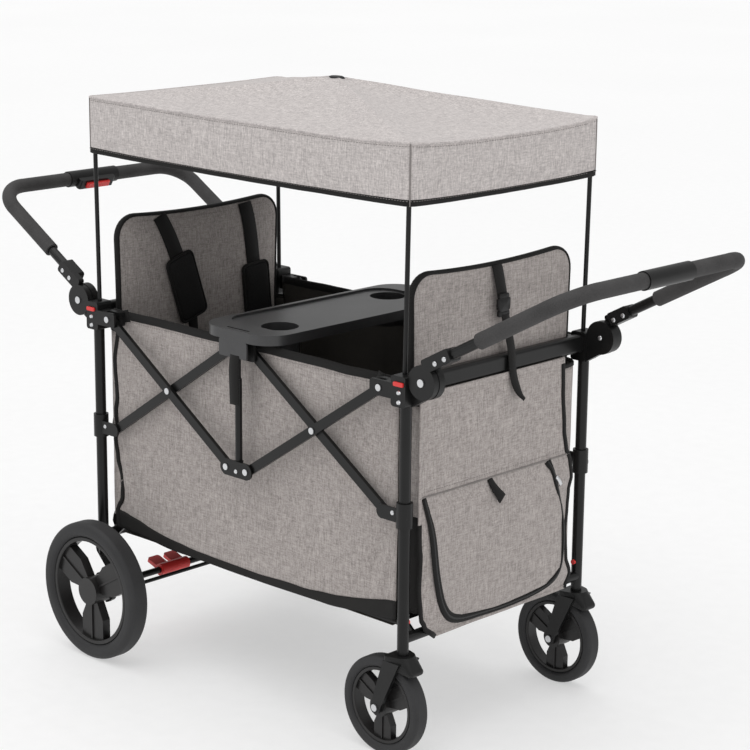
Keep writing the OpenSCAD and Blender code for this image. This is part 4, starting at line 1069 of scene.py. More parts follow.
@dataclass
class SidePanel:
    """A long side of the tub: lined cloth with a bound edge, a hem and a dark lower band."""

    finishes: Finishes
    side: Side
    # Distance of the edge from the panel's end, by height: hanging free, and drawn round the post.
    free_edge: Curve = ((248, 14), (287, 11), (310, 22), (353, 21), (401, 10), (443, 4), (462, 12), (504, 8),
                        (538, 14), (615, 9), (682, 20), (726, 12))
    drawn_edge: Curve = ((248, 9), (726, 8))
    # Height of the dark band and rise of the panel's foot, by distance from the middle.
    band: Curve = ((0, 12), (150, 14), (280, 22), (414, 38))
    foot: Curve = ((0, 0), (220, 2), (350, 12), (414, 14))
    wall: float = 1.5
    # Width and thickness of the webbing, and how far below the top the hem and its stitches run.
    hem: Pair = (18.0, 4.6)
    binding: Pair = (12.0, 4.2)
    patch: Pair = (26.0, 2.0)
    hem_down: float = 6.0
    stitch_down: float = 19.0
    # The dark band's thickness, and how far it stays from the panel's ends and hangs below its foot.
    band_wall: float = 1.2
    band_in: float = 8.0
    band_below: float = 3.0
    billow: float = 6.0
    billow_half: float = 400.0
    fine: Ripple = Ripple(0.6, 55, 2.2)
    hem_wave: Ripple = Ripple(2.0, 70, 4.9)
    band_wave: Ripple = Ripple(1.8, 60, 1.9)
    # Sewn patch behind each post: how far in from the panel's end, and its upper end.
    patch_in: float = 47.0
    patch_top: float = 730.0
    # Each fold's two ends as X and Z, its half width and its depth.
    folds: tuple[tuple[float, float, float, float, float, float], ...] = (
        (325, 290, 394, 462, 13, 5.4), (374, 268, 402, 440, 8, 4.2), (290, 650, 398, 492, 15, 4.4),
        (236, 706, 330, 552, 18, 3.2), (40, 470, 190, 352, 26, 3.0), (120, 690, 40, 560, 22, 2.8))
    columns: int = 76
    rows: int = 44
    edge_steps: int = 60
    band_rows: int = 5

    def __post_init__(self) -> None:
        """Reads the box of the side panels."""
        box = Extent.of("side_panels")
        self.half_x = box.high.x
        self.low, self.high = box.low.z, box.high.z
        self.face = box.high.y - 0.6
        self.sign = self.side.value
        self.drift = Ripple(1.8, 150, 5.3 * self.sign)

    def reach(self, end: End, z: float) -> float:
        """Distance from the middle of the wagon to the cloth's edge at an end and a height."""
        edge = self.drawn_edge if wrapped(end, self.side) else self.free_edge
        return self.half_x - eased(edge, z)

    def point(self, x: float, z: float, stand: float = 0.0) -> Vector:
        """Point of the cloth.

        Args:
            x: Place along the panel.
            z: Height.
            stand: Distance outside the cloth.

        Returns:
            The point in metres.
        """
        rise = (z - self.low) / (self.high - self.low)
        loose = max(0.0, 1 - (x / self.billow_half) ** 2)
        billow = self.billow * loose * math.sin(math.pi * min(1, max(0, rise)))
        uneven = loose * self.drift.at(x + 0.4 * z, 0, z) + self.fine.at(x, 0, z)
        inward = billow + crease(abs(x), z, self.folds) - uneven
        lifted = z + eased(self.foot, abs(x)) * (1 - rise)
        return at(x, self.sign * (self.face - inward + stand), lifted)

    def row(self, z: float, stand: float = 0.0) -> list[Vector]:
        """A level row of points.

        Args:
            z: Height.
            stand: Distance outside the cloth.

        Returns:
            The points, anticlockwise as seen from outside.
        """
        order = (End.REAR, End.FRONT) if self.side is Side.NEAR else (End.FRONT, End.REAR)
        start, stop = (end.value * self.reach(end, z) for end in order)
        step = (stop - start) / self.columns
        return [self.point(start + step * k, z, stand) for k in range(self.columns + 1)]

    def build(self) -> None:
        """Sews the panel and hangs it between the end frames."""
        f, name = self.finishes, f"side_panel_{self.side.label}"
        span = self.high - self.low
        rows = [self.row(self.low + span * k / self.rows) for k in range(self.rows + 1)]
        sheet = cloth_grid(name, rows, f.panel, f.lining, self.wall)
        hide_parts("side_panels")
        pieces = [sheet]
        level = self.row(self.high - self.hem_down, -0.5)
        hem = [p + UP * self.hem_wave.at(p.x / MM, 0, 0) * MM for p in level]
        pieces.append(sweep(f"{name}_hem", hem, strip(*self.hem), UP, f.webbing))
        stitches = self.row(self.high - self.stitch_down, 0.3)
        pieces.append(stitch_row(f"{name}_hem_stitches", stitches, UP, f.thread))
        levels = [self.low + span * k / self.edge_steps for k in range(self.edge_steps + 1)]
        for end in End:
            if not wrapped(end, self.side):
                edge = [self.point(end.value * (self.reach(end, z) - 4), z, -0.4) for z in levels]
                tape = strip(*self.binding)
                pieces.append(sweep(f"{name}_{end.label}_binding", edge, tape, ALONG, f.webbing))
            outer = self.half_x - self.patch_in
            spots = [(end.value * (outer - 1.2 * k), self.patch_top - 5 * k) for k in range(6)]
            patch = [self.point(x, z, 1.4) for x, z in spots]
            tape = strip(*self.patch)
            pieces.append(sweep(f"{name}_{end.label}_patch", patch, tape, ALONG, f.webbing))
        pieces.append(self.lower_band(f"{name}_band"))
        crumple(pieces, "rear_frame")

    def lower_band(self, name: str) -> bpy.types.Object:
        """Sews the dark band along the lower edge, deeper towards the ends.

        Args:
            name: Name of the piece.

        Returns:
            The band.
        """
        half = self.half_x - self.band_in
        steps = [2 * k / self.columns - 1 for k in range(self.columns + 1)]
        rows = []
        for k in range(self.band_rows + 1):
            row = []
            for s in steps:
                x = -self.sign * half * s
                deep = eased(self.band, abs(x)) + self.band_wave.at(x, 0, 0)
                rise = (deep + self.band_below) * k / self.band_rows
                row.append(self.point(x, self.low - self.band_below + rise, 1.3))
            rows.append(row)
        return cloth_grid(name, rows, self.finishes.band, self.finishes.band, self.band_wall)


@dataclass
class EndPanel:
    """An end of the tub, with the zipped pocket on the front one."""

    finishes: Finishes
    end: End
    # Half width by height, where the edge hangs free and where it goes round the post.
    free_edge: Curve = ((226, 203), (256, 217), (292, 204), (352, 199), (392, 203), (432, 206),
                        (456, 214), (494, 208), (520, 195), (557, 188), (640, 181), (700, 179))
    drawn_edge: Curve = ((226, 184), (246, 211), (271, 224), (328, 230), (388, 227), (416, 230),
                         (444, 231), (700, 231))
    wall: float = 1.5
    # Width and thickness of the trim.
    binding: Pair = (11.0, 4.0)
    seam: Pair = (9.0, 3.4)
    hem: Pair = (13.0, 4.0)
    foot: Pair = (9.0, 3.0)
    stand: float = 2.2
    cut_share: float = 0.94
    fine: Ripple = Ripple(0.5, 45, 7.7)
    # Where the cover goes round the post, the black binding runs only up to this height; there it is a bound
    # edge that also paints the shadow in the gap beside the post.
    shadow_binding_top: float = 455.0
    pocket_top: float = 505.0
    pocket_depth: float = 14.0
    columns: int = 44
    rows: int = 48
    # The zip's route across the pocket, as Y and Z.
    zip_route: Curve = ((-218, 503), (-201, 434), (-191, 347), (-172, 282), (-134, 252), (-50, 242),
                        (29, 240), (110, 247), (156, 265), (180, 298), (179, 377), (147, 473), (134, 503))
    # Width of the tape that shows, by share of its route.
    zip_swell: Curve = ((0, 0.8), (0.12, 1.25), (0.3, 1.3), (0.45, 1.0), (0.62, 0.85), (0.78, 0.5),
                        (0.93, 0.7), (1, 1.2))
    # Routes of the pull tab and the slider, as Y, Z and distance outside the cloth.
    tab_route: Route = ((-36, 503, 1), (-32, 490, 4), (-24, 474, 6), (-16, 463, 8))
    slider_route: Route = ((152, 470, 2.5), (158, 462, 4.2), (163, 452, 5))

    def __post_init__(self) -> None:
        """Reads the box of the panel."""
        box = Extent.of(f"{self.end.label}_end_panel")
        self.low, self.high = box.low.z, box.high.z
        self.inside = box.low.x if self.end is End.FRONT else -box.high.x
        self.drift = Ripple(1.3, 110, 4.4 * self.end.value)
        # How far the pocket stands out, by height.
        self.bulge = ((self.low, 0), (self.low + 36, 0.95), (380, 1), (470, 0.72), (self.pocket_top, 0.08))

    def stand_out(self, y: float, z: float) -> float:
        """Distance of the cloth from its plane.

        Args:
            y: Place across the panel.
            z: Height.

        Returns:
            The distance in millimetres, pocket and folds included.
        """
        half = self.reach(Side.FAR if y > 0 else Side.NEAR, z)
        uneven = self.drift.at(0, y, z) + self.fine.at(0, y, z)
        if self.end is End.REAR or z > self.pocket_top:
            return self.stand + uneven * max(0.0, 1 - (y / half) ** 2)
        width = eased(((0, 1), (0.8, 0.94), (1, 0)), abs(y) / half)
        return self.stand + width * (self.pocket_depth * eased(self.bulge, z) + 1.6 * uneven)

    def point(self, y: float, z: float, stand: float = 0.0) -> Vector:
        """Point of the cloth, or so far outside it."""
        return at(self.end.value * (self.inside + self.stand_out(y, z) + stand), y, z)

    def reach(self, side: Side, z: float) -> float:
        """Distance from the middle of the panel to its edge at a side and a height."""
        return eased(self.drawn_edge if wrapped(self.end, side) else self.free_edge, z)

    def row(self, z: float, stand: float = 0.0) -> list[Vector]:
        """A level row of points.

        Args:
            z: Height.
            stand: Distance outside the cloth.

        Returns:
            The points, anticlockwise as seen from outside.
        """
        order = (Side.NEAR, Side.FAR) if self.end is End.FRONT else (Side.FAR, Side.NEAR)
        start, stop = (side.value * self.reach(side, z) for side in order)
        step = (stop - start) / self.columns
        return [self.point(start + step * k, z, stand) for k in range(self.columns + 1)]

    def build(self) -> None:
        """Sews the panel and hangs it on its end frame."""
        f, name = self.finishes, f"{self.end.label}_panel"
        levels = [self.low + (self.high - self.low) * k / self.rows for k in range(self.rows + 1)]
        sheet = cloth_grid(f"{name}_sheet", [self.row(z) for z in levels], f.panel, f.lining, self.wall)
        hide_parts(f"{self.end.label}_end_panel")
        pieces = [sheet]
        for side in Side:
            drawn = wrapped(self.end, side)
            edge = [self.point(side.value * (self.reach(side, z) - 3), z, 0.2) for z in levels]
            # On a drawn side the black binding is kept only low down, where it also paints the shadow in the
            # gap between the panels.
            bound = [p for p in edge if not drawn or p.z < self.shadow_binding_top * MM]
            tape = strip(*self.binding)
            pieces.append(sweep(f"{name}_{side.label}_binding", bound, tape, ACROSS, f.webbing))
            if drawn:
                seam, tape = edge[len(bound) - 1:], strip(*self.seam)
                pieces.append(sweep(f"{name}_{side.label}_seam", seam, tape, ACROSS, f.panel))
        pieces.append(sweep(f"{name}_hem", self.row(self.high - 5, 0.3), strip(*self.hem), UP, f.panel))
        pieces.append(sweep(f"{name}_foot", self.row(self.low + 3, 0.2), strip(*self.foot), UP, f.panel))
        if self.end is End.FRONT:
            pieces += self.pocket()
        carry(pieces, f"{self.end.label}_frame")
        f"{self.end.label}_end_frame"

    def pocket(self) -> list[bpy.types.Object]:
        """Sews the pocket's seam, zip, slider and pull tab.

        Returns:
            The pieces.
        """
        f = self.finishes
        out = ALONG * self.end.value
        route = smooth_path([self.point(y, z, 0.9) for y, z in self.zip_route], 8)
        tape = sweep("pocket_zip_tape", route, oval(3.6, 15, 12), out, f.webbing, swell=self.zip_swell)
        coil = sweep("pocket_zip_coil", [p + out * 1.6 * MM for p in route], oval(2.4, 4.2, 8), out, f.coil)
        seam = self.row(self.pocket_top, 0.4)
        welt = sweep("pocket_seam", seam, oval(3.6, 3.4, 8), UP, f.thread)
        stitches = stitch_row("pocket_stitches", self.row(self.pocket_top + 9, 0.3), UP, f.thread)
        tab_path = smooth_path([self.point(*stop) for stop in self.tab_route], 5)
        tab = sweep("pocket_pull_tab", tab_path, strip(22, 3), ACROSS, f.webbing, swell=((0, 0.7), (1, 1.1)))
        grip = smooth_path([self.point(*stop) for stop in self.slider_route], 5)
        slider = sweep("pocket_zip_slider", grip, strip(9, 4), ACROSS, f.plated)
        return [tape, coil, welt, stitches, tab, slider]


@dataclass
class CornerGusset:
    """The cloth that closes a corner of the tub, inside the post, from the side panel to the end panel."""

    finishes: Finishes
    end: End
    side: Side
    low: float = 266.0
    high: float = 681.0
    # Height below which, at corners where the cover goes round the post, the gusset is black as painted
    # shadow in the gap between the panels.
    dark_top: float = 462.0
    wall: float = 1.4
    hem: Pair = (9.0, 3.0)
    # Places between the two panels as X and Y, where the cover goes round the post and where it hangs free.
    drawn: Curve = ((416.0, 233.5), (427.0, 229.5), (438.0, 228.5))
    free: Curve = ((418.0, 234.5), (427.5, 228.5), (440.0, 214.0))
    wave: Ripple = Ripple(0.8, 60, 3.7)
    rows: int = 30

    def row(self, z: float, from_side: SidePanel, to_end: EndPanel) -> list[Vector]:
        """A level row of points.

        Args:
            z: Height.
            from_side: Panel that the gusset starts at.
            to_end: Panel that it is sewn to.

        Returns:
            The points, anticlockwise as seen from outside.
        """
        ex, sy = self.end.value, self.side.value
        middle = self.drawn if wrapped(self.end, self.side) else self.free
        stops = [from_side.point(ex * (from_side.reach(self.end, z) - 3), z, -1.2)]
        level = stops[0].z / MM
        stops += [at(ex * (x + self.wave.at(0, 0, z)), sy * y, level) for x, y in middle]
        stops.append(to_end.point(sy * (to_end.reach(self.side, level) - 4), level, -1.6))
        points = smooth_path(stops, 4)
        return points if ex * sy < 0 else points[::-1]

    def build(self, from_side: SidePanel, to_end: EndPanel) -> None:
        """Sews the gusset and lets it ride on its end frame.

        Args:
            from_side: Panel that the gusset starts at.
            to_end: Panel that it is sewn to.
        """
        f, name = self.finishes, f"gusset_{self.end.label}_{self.side.label}"
        levels = [self.low + (self.high - self.low) * k / self.rows for k in range(self.rows + 1)]
        rows = [self.row(z, from_side, to_end) for z in levels]
        sheet = cloth_grid(name, rows, f.panel, f.lining, self.wall)
        # Where the cover goes round the post, the lower faces take the black band cloth: painted shadow in
        # the gap between the side panel and the end panel.
        if wrapped(self.end, self.side):
            sheet.data.materials.append(f.band)
            for face in sheet.data.polygons:
                if face.center.z < self.dark_top * MM:
                    face.material_index = 2
        rim = sweep(f"{name}_hem", rows[-1], strip(*self.hem), UP, f.webbing)
        carry([sheet, rim], f"{self.end.label}_frame")
        f"{self.end.label}_end_frame"


@dataclass
class TubBase:
    """The cloth under the floor boards."""

    finishes: Finishes
    half_x: float = 390.0
    half_y: float = 236.0
    z: float = 248.0
    wall: float = 1.5
    sag: float = 3.5
    wave: Ripple = Ripple(0.8, 90, 6.1)
    columns: int = 40
    rows: int = 24

    def build(self) -> None:
        """Hangs the base between the side panels."""
        f = self.finishes
        rows = []
        for k in range(self.rows + 1):
            y = self.half_y * (2 * k / self.rows - 1)
            row = []
            for c in range(self.columns + 1):
                x = self.half_x * (2 * c / self.columns - 1)
                dip = self.sag * (1 - (x / self.half_x) ** 2) * (1 - (y / self.half_y) ** 2)
                row.append(at(x, y, self.z - dip + self.wave.at(x, y, 0)))
            rows.append(row)
        sheet = cloth_grid("tub_base", rows, f.lining, f.lining, self.wall)
        crumple([sheet], "rear_frame")


@dataclass
class Backrest:
    """A padded backrest with its binding, harness straps and shoulder pads."""

    finishes: Finishes
    end: End
    top: float = 921.0
    foot: float = 400.0
    half_y: float = 228.0
    corner: float = 52.0
    rim: float = 20.0
    # How far the top edge dips in the middle, and how far the sides draw in.
    dip: float = 11.0
    draw: float = 5.0
    # Share of the outline from which the rim is held, and depths where the back and the soft face start.
    rim_share: float = 0.955
    back_depth: float = 6.0
    soft_depth: float = 8.0
    soft: Ripple = Ripple(1.0, 95, 8.8)
    swell: float = 6.0
    # Rings of the form, as inset and depth from the outer face.
    levels: Curve = ((26, 3), (9, 2.5), (3, 5.5), (0, 9), (0, 13), (4, 17), (12, 20.5), (34, 24), (80, 26))
    # Width and thickness of the trim, with the inset and depth of the binding and the inset of the stitches.
    binding: Pair = (16.0, 8.4)
    binding_in: float = 3.5
    binding_depth: float = 11.0
    stitches_in: float = 16.0
    piping: Pair = (7.0, 6.0)
    strap: Pair = (38.0, 3.0)
    tail: Pair = (25.0, 2.4)
    ray_start: float = 200.0
    pad_half: Pair = (36.0, 71.0)
    # Middle and slant of each shoulder pad, as Y, Z and degrees.
    pads: Route = ((-58, 750, 18), (147, 703, 5))
    strap_tops: Pair = (-114.0, 126.0)
    strap_start: float = 66.0

    def __post_init__(self) -> None:
        """Reads the box of the backrest."""
        box = Extent.of(f"{self.end.label}_backrest")
        self.back = max(abs(box.low.x), abs(box.high.x))
        self.mid_z = (self.top + self.foot) / 2
        self.half_z = (self.top - self.foot) / 2

    def outline(self, inset: float) -> Section:
        """Outline of the pad.

        Args:
            inset: How far it is drawn in.

        Returns:
            Its points as Y and height about the pad's middle.
        """
        ring = round_ring(self.half_y - inset, self.half_z - inset, self.corner - inset * 0.6, (24, 28), 8)
        shaped = []
        for y, z in ring:
            pull = self.draw * (1 - (z / self.half_z) ** 2)
            low = self.dip * (1 - (y / self.half_y) ** 2) if z > self.half_z - self.corner else 0
            shaped.append((y - math.copysign(pull, y) * abs(y) / self.half_y, z - low))
        return shaped

    def place(self, y: float, z: float, deep: float) -> Vector:
        """Point so deep inside the backrest's outer face, with z from its middle."""
        return at(self.end.value * (self.back - deep), y, self.mid_z + z)

    def stuffed(self) -> bpy.types.Object:
        """Makes the pad: lofted, swollen by simulation with a held rim, then set in place.

        Returns:
            The pad.
        """
        rings = [[Vector((y, z, deep)) * MM for y, z in self.outline(inset)] for inset, deep in self.levels]
        pad = loft(f"{self.end.label}_backrest_pad", rings, self.finishes.pad)
        def held(point: Vector) -> bool:
            """Tells whether a point is on the bound rim or the flat back."""
            y, z, deep = point / MM
            edge = max(abs(y) / self.half_y, abs(z) / self.half_z)
            return edge > self.rim_share or deep < self.back_depth
        inflate(pad, held, self.swell)
        for vertex in pad.data.vertices:
            y, z, deep = vertex.co / MM
            soft = self.soft.at(0, y, z) if deep > self.soft_depth else 0
            vertex.co = self.place(y, z, deep + soft)
        if self.end is End.FRONT:
            pad.data.flip_normals()
        return pad

    def surface(self, pad: bpy.types.Object) -> Callable[[float, float], float]:
        """Reads how deep the pad's inner face is.

        Args:
            pad: The pad in place.

        Returns:
            A function of Y and height that gives the depth in millimetres.
        """
        tree = ray_tree(pad.data)

        def deep(y: float, z: float) -> float:
            """Depth of the face at a place, or of the rim where there is no face."""
            hit = tree.ray_cast(at(self.end.value * self.ray_start, y, z), ALONG * self.end.value)[0]
            return self.rim if hit is None else self.back - abs(hit.x - MID_X) / MM
        return deep

    def build(self) -> None:
        """Makes the backrest and everything sewn to it."""
        f, name = self.finishes, f"{self.end.label}_backrest"
        pad = self.stuffed()
        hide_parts(name)
        deep = self.surface(pad)
        rim = [self.place(y, z, self.binding_depth) for y, z in self.outline(self.binding_in)]
        binding = sweep(f"{name}_binding", rim, oval(*self.binding), ALONG, f.webbing, closed=True)
        sewn = self.outline(self.stitches_in)
        channel = [self.place(y, z, deep(y, self.mid_z + z) + 0.2) for y, z in sewn]
        stitches = stitch_row(f"{name}_stitches", channel + channel[:1], ALONG.cross(UP), f.thread)
        pieces = [pad, binding, stitches]
        for number, (spot, top_y) in enumerate(zip(self.pads, self.strap_tops), 1):
            pieces += self.harness(number, spot, top_y, deep)
        carry(pieces, name)

    def harness(self, number: int, spot: Triple, top_y: float,
                deep: Callable[[float, float], float]) -> list[bpy.types.Object]:
        """Sews a shoulder strap and its pad.

        Args:
            number: Number of the strap.
            spot: Middle of the pad as Y and Z, and its slant in degrees.
            top_y: Place where the strap comes over the top of the backrest.
            deep: Depth of the backrest's inner face.

        Returns:
            The pad, its piping, the strap above it and the tail below it.
        """
        f, name = self.finishes, f"{self.end.label}_harness"
        y, z, slant = spot
        run, rise = math.cos(math.radians(slant)), math.sin(math.radians(slant))
        lift = deep(y, z)

        def slanted(a: float, b: float) -> Pair:
            """Y and height of a place that is given in the pad's own plane."""
            return y + a * run - b * rise, z + a * rise + b * run

        def laid(route: Section) -> list[Vector]:
            """Path of webbing that lies on the backrest."""
            return [at(self.end.value * (self.back - deep(a, b) - 2.0), a, b) for a, b in route]

        shoulder = Pad(f"{name}_pad_{number}", f.spacer, self.pad_half)
        form = shoulder.stuffed()
        for vertex in form.data.vertices:
            a, b, c = vertex.co / MM
            vertex.co = at(self.end.value * (self.back - lift - c - 0.4), *slanted(a, b))
        if self.end is End.FRONT:
            form.data.flip_normals()
        form.data.update()
        ring = [slanted(a, b) for a, b in shoulder.outline(0)]
        edge = [at(self.end.value * (self.back - lift - 7), a, b) for a, b in ring]
        piping = sweep(f"{name}_pad_{number}_piping", edge, oval(*self.piping, 8), ALONG, f.webbing,
                       closed=True)
        top = slanted(0, self.strap_start)
        first = (top_y, self.top - 8 - self.dip * (1 - (top_y / self.half_y) ** 2))
        route = [(first[0] + (top[0] - first[0]) * t / 9, first[1] + (top[1] - first[1]) * t / 9)
                 for t in range(10)]
        strap = sweep(f"{name}_strap_{number}", laid(route), strip(*self.strap), ACROSS, f.webbing)
        foot = slanted(0, -self.strap_start)
        drop = [(foot[0] * (1 - 0.025 * t), foot[1] - 14 * t) for t in range(9)]
        tail = sweep(f"{name}_tail_{number}", laid(drop), strip(*self.tail), ACROSS, f.webbing)
        return [form, piping, strap, tail]


@dataclass
class Pad:
    """A small stuffed pad, lying in its own plane with its back at zero."""

    name: str
    finish: bpy.types.Material
    half: Pair
    corner: float = 12.0
    rim_share: float = 0.93
    back_depth: float = 3.0
    swell: float = 5.0
    # Rings of the form, as inset and height.
    levels: Curve = ((6, 0), (1, 2.5), (0, 5.5), (0, 8), (2, 10.5), (6, 12.2), (14, 13))

    def outline(self, inset: float) -> Section:
        """Outline of the pad, drawn in by an inset."""
        half_a, half_b = self.half
        return round_ring(half_a - inset, half_b - inset, self.corner - inset * 0.5, (8, 18), 5)

    def stuffed(self) -> bpy.types.Object:
        """Makes the pad about the origin.

        Returns:
            The pad.
        """
        rings = [[Vector((a, b, up)) * MM for a, b in self.outline(inset)] for inset, up in self.levels]
        pad = loft(self.name, rings, self.finish)
        def held(point: Vector) -> bool:
            """Tells whether a point is on the piped rim or the back."""
            a, b, up = point / MM
            edge = max(abs(a) / self.half[0], abs(b) / self.half[1])
            return edge > self.rim_share or up < self.back_depth
        inflate(pad, held, self.swell)
        return pad


@dataclass
class TieStrap:
    """The strap that holds a backrest to its end frame, with its buckle and loose tail."""

    finishes: Finishes
    end: End
    wide: float = 28.0
    narrow: float = 20.0
    thick: float = 2.2
    buckle: Triple = (437.0, 6.0, 832.0)
    # Blocks of the buckle: middle as Y and Z, half sizes, half depth and corner radius.
    blocks: tuple[tuple[Pair, Pair, float, float], ...] = (
        ((0, 0), (16, 13), 4.6, 7), ((0, 16), (14, 5), 3.4, 3), ((0, -17), (15, 6), 3.8, 3),
        ((-14, 4), (3.4, 8), 3.6, 2), ((14, 4), (3.4, 8), 3.6, 2))
    bevel: float = 1.2
    upper: Route = ((423, 0, 906), (426.5, 0.5, 898), (431, 3, 872), (436, 5, 842))
    lower: Route = ((438, 7, 822), (446, 12, 780), (450, 18, 740), (452.5, 20, 705), (455, 25, 680),
                    (461, 31, 660), (468, 38, 648))
    # Where the strap starts and stops turning with the backrest.
    bend: Route = ((448, 0, 745), (430, 0, 846))

    def path(self, stops: Route) -> list[Vector]:
        """Smooth route through points that are given for the front end."""
        return smooth_path([at(self.end.value * x, y, z) for x, y, z in stops], 6)

    def build(self) -> None:
        """Makes the strap, its tail and its buckle in place."""
        f, name = self.finishes, f"{self.end.label}_tie"
        wide, narrow = strip(self.wide, self.thick), strip(self.narrow, self.thick)
        first = sweep(f"{name}_strap", self.path(self.upper), wide, ACROSS, f.webbing)
        second = sweep(f"{name}_tail", self.path(self.lower), narrow, ACROSS, f.webbing,
                       swell=((0, 1.1), (0.7, 1), (1, 0.5)))
        clip = self.clip(f"{name}_buckle")
        for piece, slot in ((first, Slot.CLOTH), (second, Slot.CLOTH), (clip, Slot.PLASTIC)):
            f"{self.end.label}_frame"
            f"{self.end.label}_backrest"
            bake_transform(piece)

    def clip(self, name: str) -> bpy.types.Object:
        """Moulds the side-release buckle: a waisted body, two prongs and a strap bar.

        Args:
            name: Name of the piece.

        Returns:
            The buckle.
        """
        x, y, z = self.buckle
        bevel = self.bevel
        parts = []
        for (mid_y, mid_z), (half_a, half_b), deep, corner in self.blocks:
            rings = []
            for inset, out in ((bevel, -deep), (0, bevel - deep), (0, deep - bevel), (bevel, deep)):
                ring = round_ring(half_a - inset, half_b - inset, corner - inset * 0.5, (4, 4), 4)
                rings.append([at(self.end.value * (x + out), y + mid_y + self.end.value * a, z + mid_z + b)
                              for a, b in ring])
            parts.append(loft(name, rings, self.finishes.plastic))
        return join(name, parts)


@dataclass
class FloorMat:
    """A thin padded mat on a floor board."""

    finishes: Finishes
    end: End
    corner: float = 16.0
    # Rings of the form, as inset and height, and the height from which the top is uneven.
    levels: Curve = ((2, 0.2), (0, 1.6), (0, 4.4), (3, 6.2), (12, 6.8), (40, 7.0), (90, 7.0))
    soft_from: float = 5.0
    wave: Ripple = Ripple(0.5, 60, 3.3)

    def build(self) -> None:
        """Lays the mat and lets it ride on its half of the floor."""
        node = f"{self.end.label}_floor_board"
        box = Extent.of(node)
        half = ((box.high.x - box.low.x) / 2 - 2, (box.high.y - box.low.y) / 2 - 4)
        mid = (box.high.x + box.low.x) / 2
        rings = []
        for inset, up in self.levels:
            ring = []
            for a, b in round_ring(half[0] - inset, half[1] - inset, self.corner, (14, 18), 4):
                uneven = self.wave.at(a, b, 0) if up > self.soft_from else 0
                ring.append(at(mid + a, b, box.high.z + up + uneven))
            rings.append(ring)
        mat = loft(f"{self.end.label}_floor_mat", rings, self.finishes.lining)
        carry([mat], f"{self.end.label}_floor")


@dataclass
class Fasteners:
    """Rivet heads that hold hub arms and sleeves, and the strap that hangs from the tray."""

    finishes: Finishes
    # Slope of the handles' arms in degrees, and the rivets along and above an arm's line.
    rear_arm: float = 30.5
    front_arm: float = 28.5
    rivet_runs: tuple[float, ...] = (47.0, 72.0)
    rivet_rise: float = 21.0
    sleeve_rivet: Pair = (412.0, 478.0)
    bracket_rise: float = 12.0
    head: float = 5.0
    small_head: float = 4.6
    head_height: float = 2.2
    head_sink: float = 0.2
    ray_start: float = 400.0
    strap: Pair = (27.0, 2.4)
    # The tray strap's route down its near end, as Y and Z.
    strap_x: float = 6.0
    strap_route: Curve = ((-277, 716), (-279, 706), (-281.5, 694), (-283, 672), (-282, 640), (-281, 608))

    def build(self) -> None:
        """Sets the rivets and sews the tray's strap."""
        for end in End:
            hubs, handle = f"{end.label}_handle_hubs", f"{end.label}_handle"
            castings, posts = f"{end.label}_castings", f"{end.label}_frame"
            sleeves = f"{end.label}_sleeves"
            turn = math.radians(self.rear_arm if end is End.REAR else self.front_arm)
            run, rise = math.cos(turn), math.sin(turn)
            spots = [(end.value * (HUB_X + s * run - self.rivet_rise * rise),
                      HUB_Z + s * rise + self.rivet_rise * run) for s in self.rivet_runs]
            on_sleeve = [(end.value * self.sleeve_rivet[0], self.sleeve_rivet[1])]
            on_hub = [(end.value * HUB_X, HUB_Z)]
            for side in Side:
                label = f"{end.label}_{side.label}"
                self.rivets(f"arm_rivets_{label}", hubs, handle, spots, side, self.head)
                self.rivets(f"arm_backs_{label}", hubs, handle, spots, side, self.head, inside=True)
                self.rivets(f"hub_back_{label}", castings, posts, on_hub, side, self.head, inside=True)
                self.rivets(f"sleeve_rivet_{label}", sleeves, sleeves, on_sleeve, side, self.small_head)
        brackets = "lower_brackets"
        middle = [(0.0, Extent.of(brackets).low.z + self.bracket_rise)]
        for side in Side:
            self.rivets(f"bracket_rivet_{side.label}", brackets, brackets, middle, side, self.small_head)
        carry([self.tray_strap()], "tray")

    def rivets(self, name: str, node: str, body: str, spots: Sequence[Pair], side: Side,
               radius: float, inside: bool = False) -> None:
        """Sets rivet heads on the faces of a node that look along Y.

        Args:
            name: Name of the piece.
            node: Node that carries the rivets.
            body: Body that they ride on.
            spots: Places as X and Z.
            side: Side of the wagon.
            radius: Radius of a head.
            inside: Sets them on the face that looks to the middle of the wagon.
        """
        tree = ray_tree(frame["nodes"][node].data)
        out = ACROSS * side.value * (-1 if inside else 1)
        start = 0.0 if inside else self.ray_start
        places = []
        for x, z in spots:
            hit = tree.ray_cast(at(x, side.value * start, z), -out)[0]
            if hit is not None:
                places.append(hit - out * self.head_sink * MM)
        if places:
            heads = domes(name, places, out, radius, self.head_height, self.finishes.plated)
            carry([heads], body)

    def tray_strap(self) -> bpy.types.Object:
        """Sews the strap that hangs from the near end of the tray.

        Returns:
            The strap.
        """
        route = smooth_path([at(self.strap_x, y, z) for y, z in self.strap_route], 6)
        return sweep("tray_strap", route, strip(*self.strap), ALONG, self.finishes.webbing)


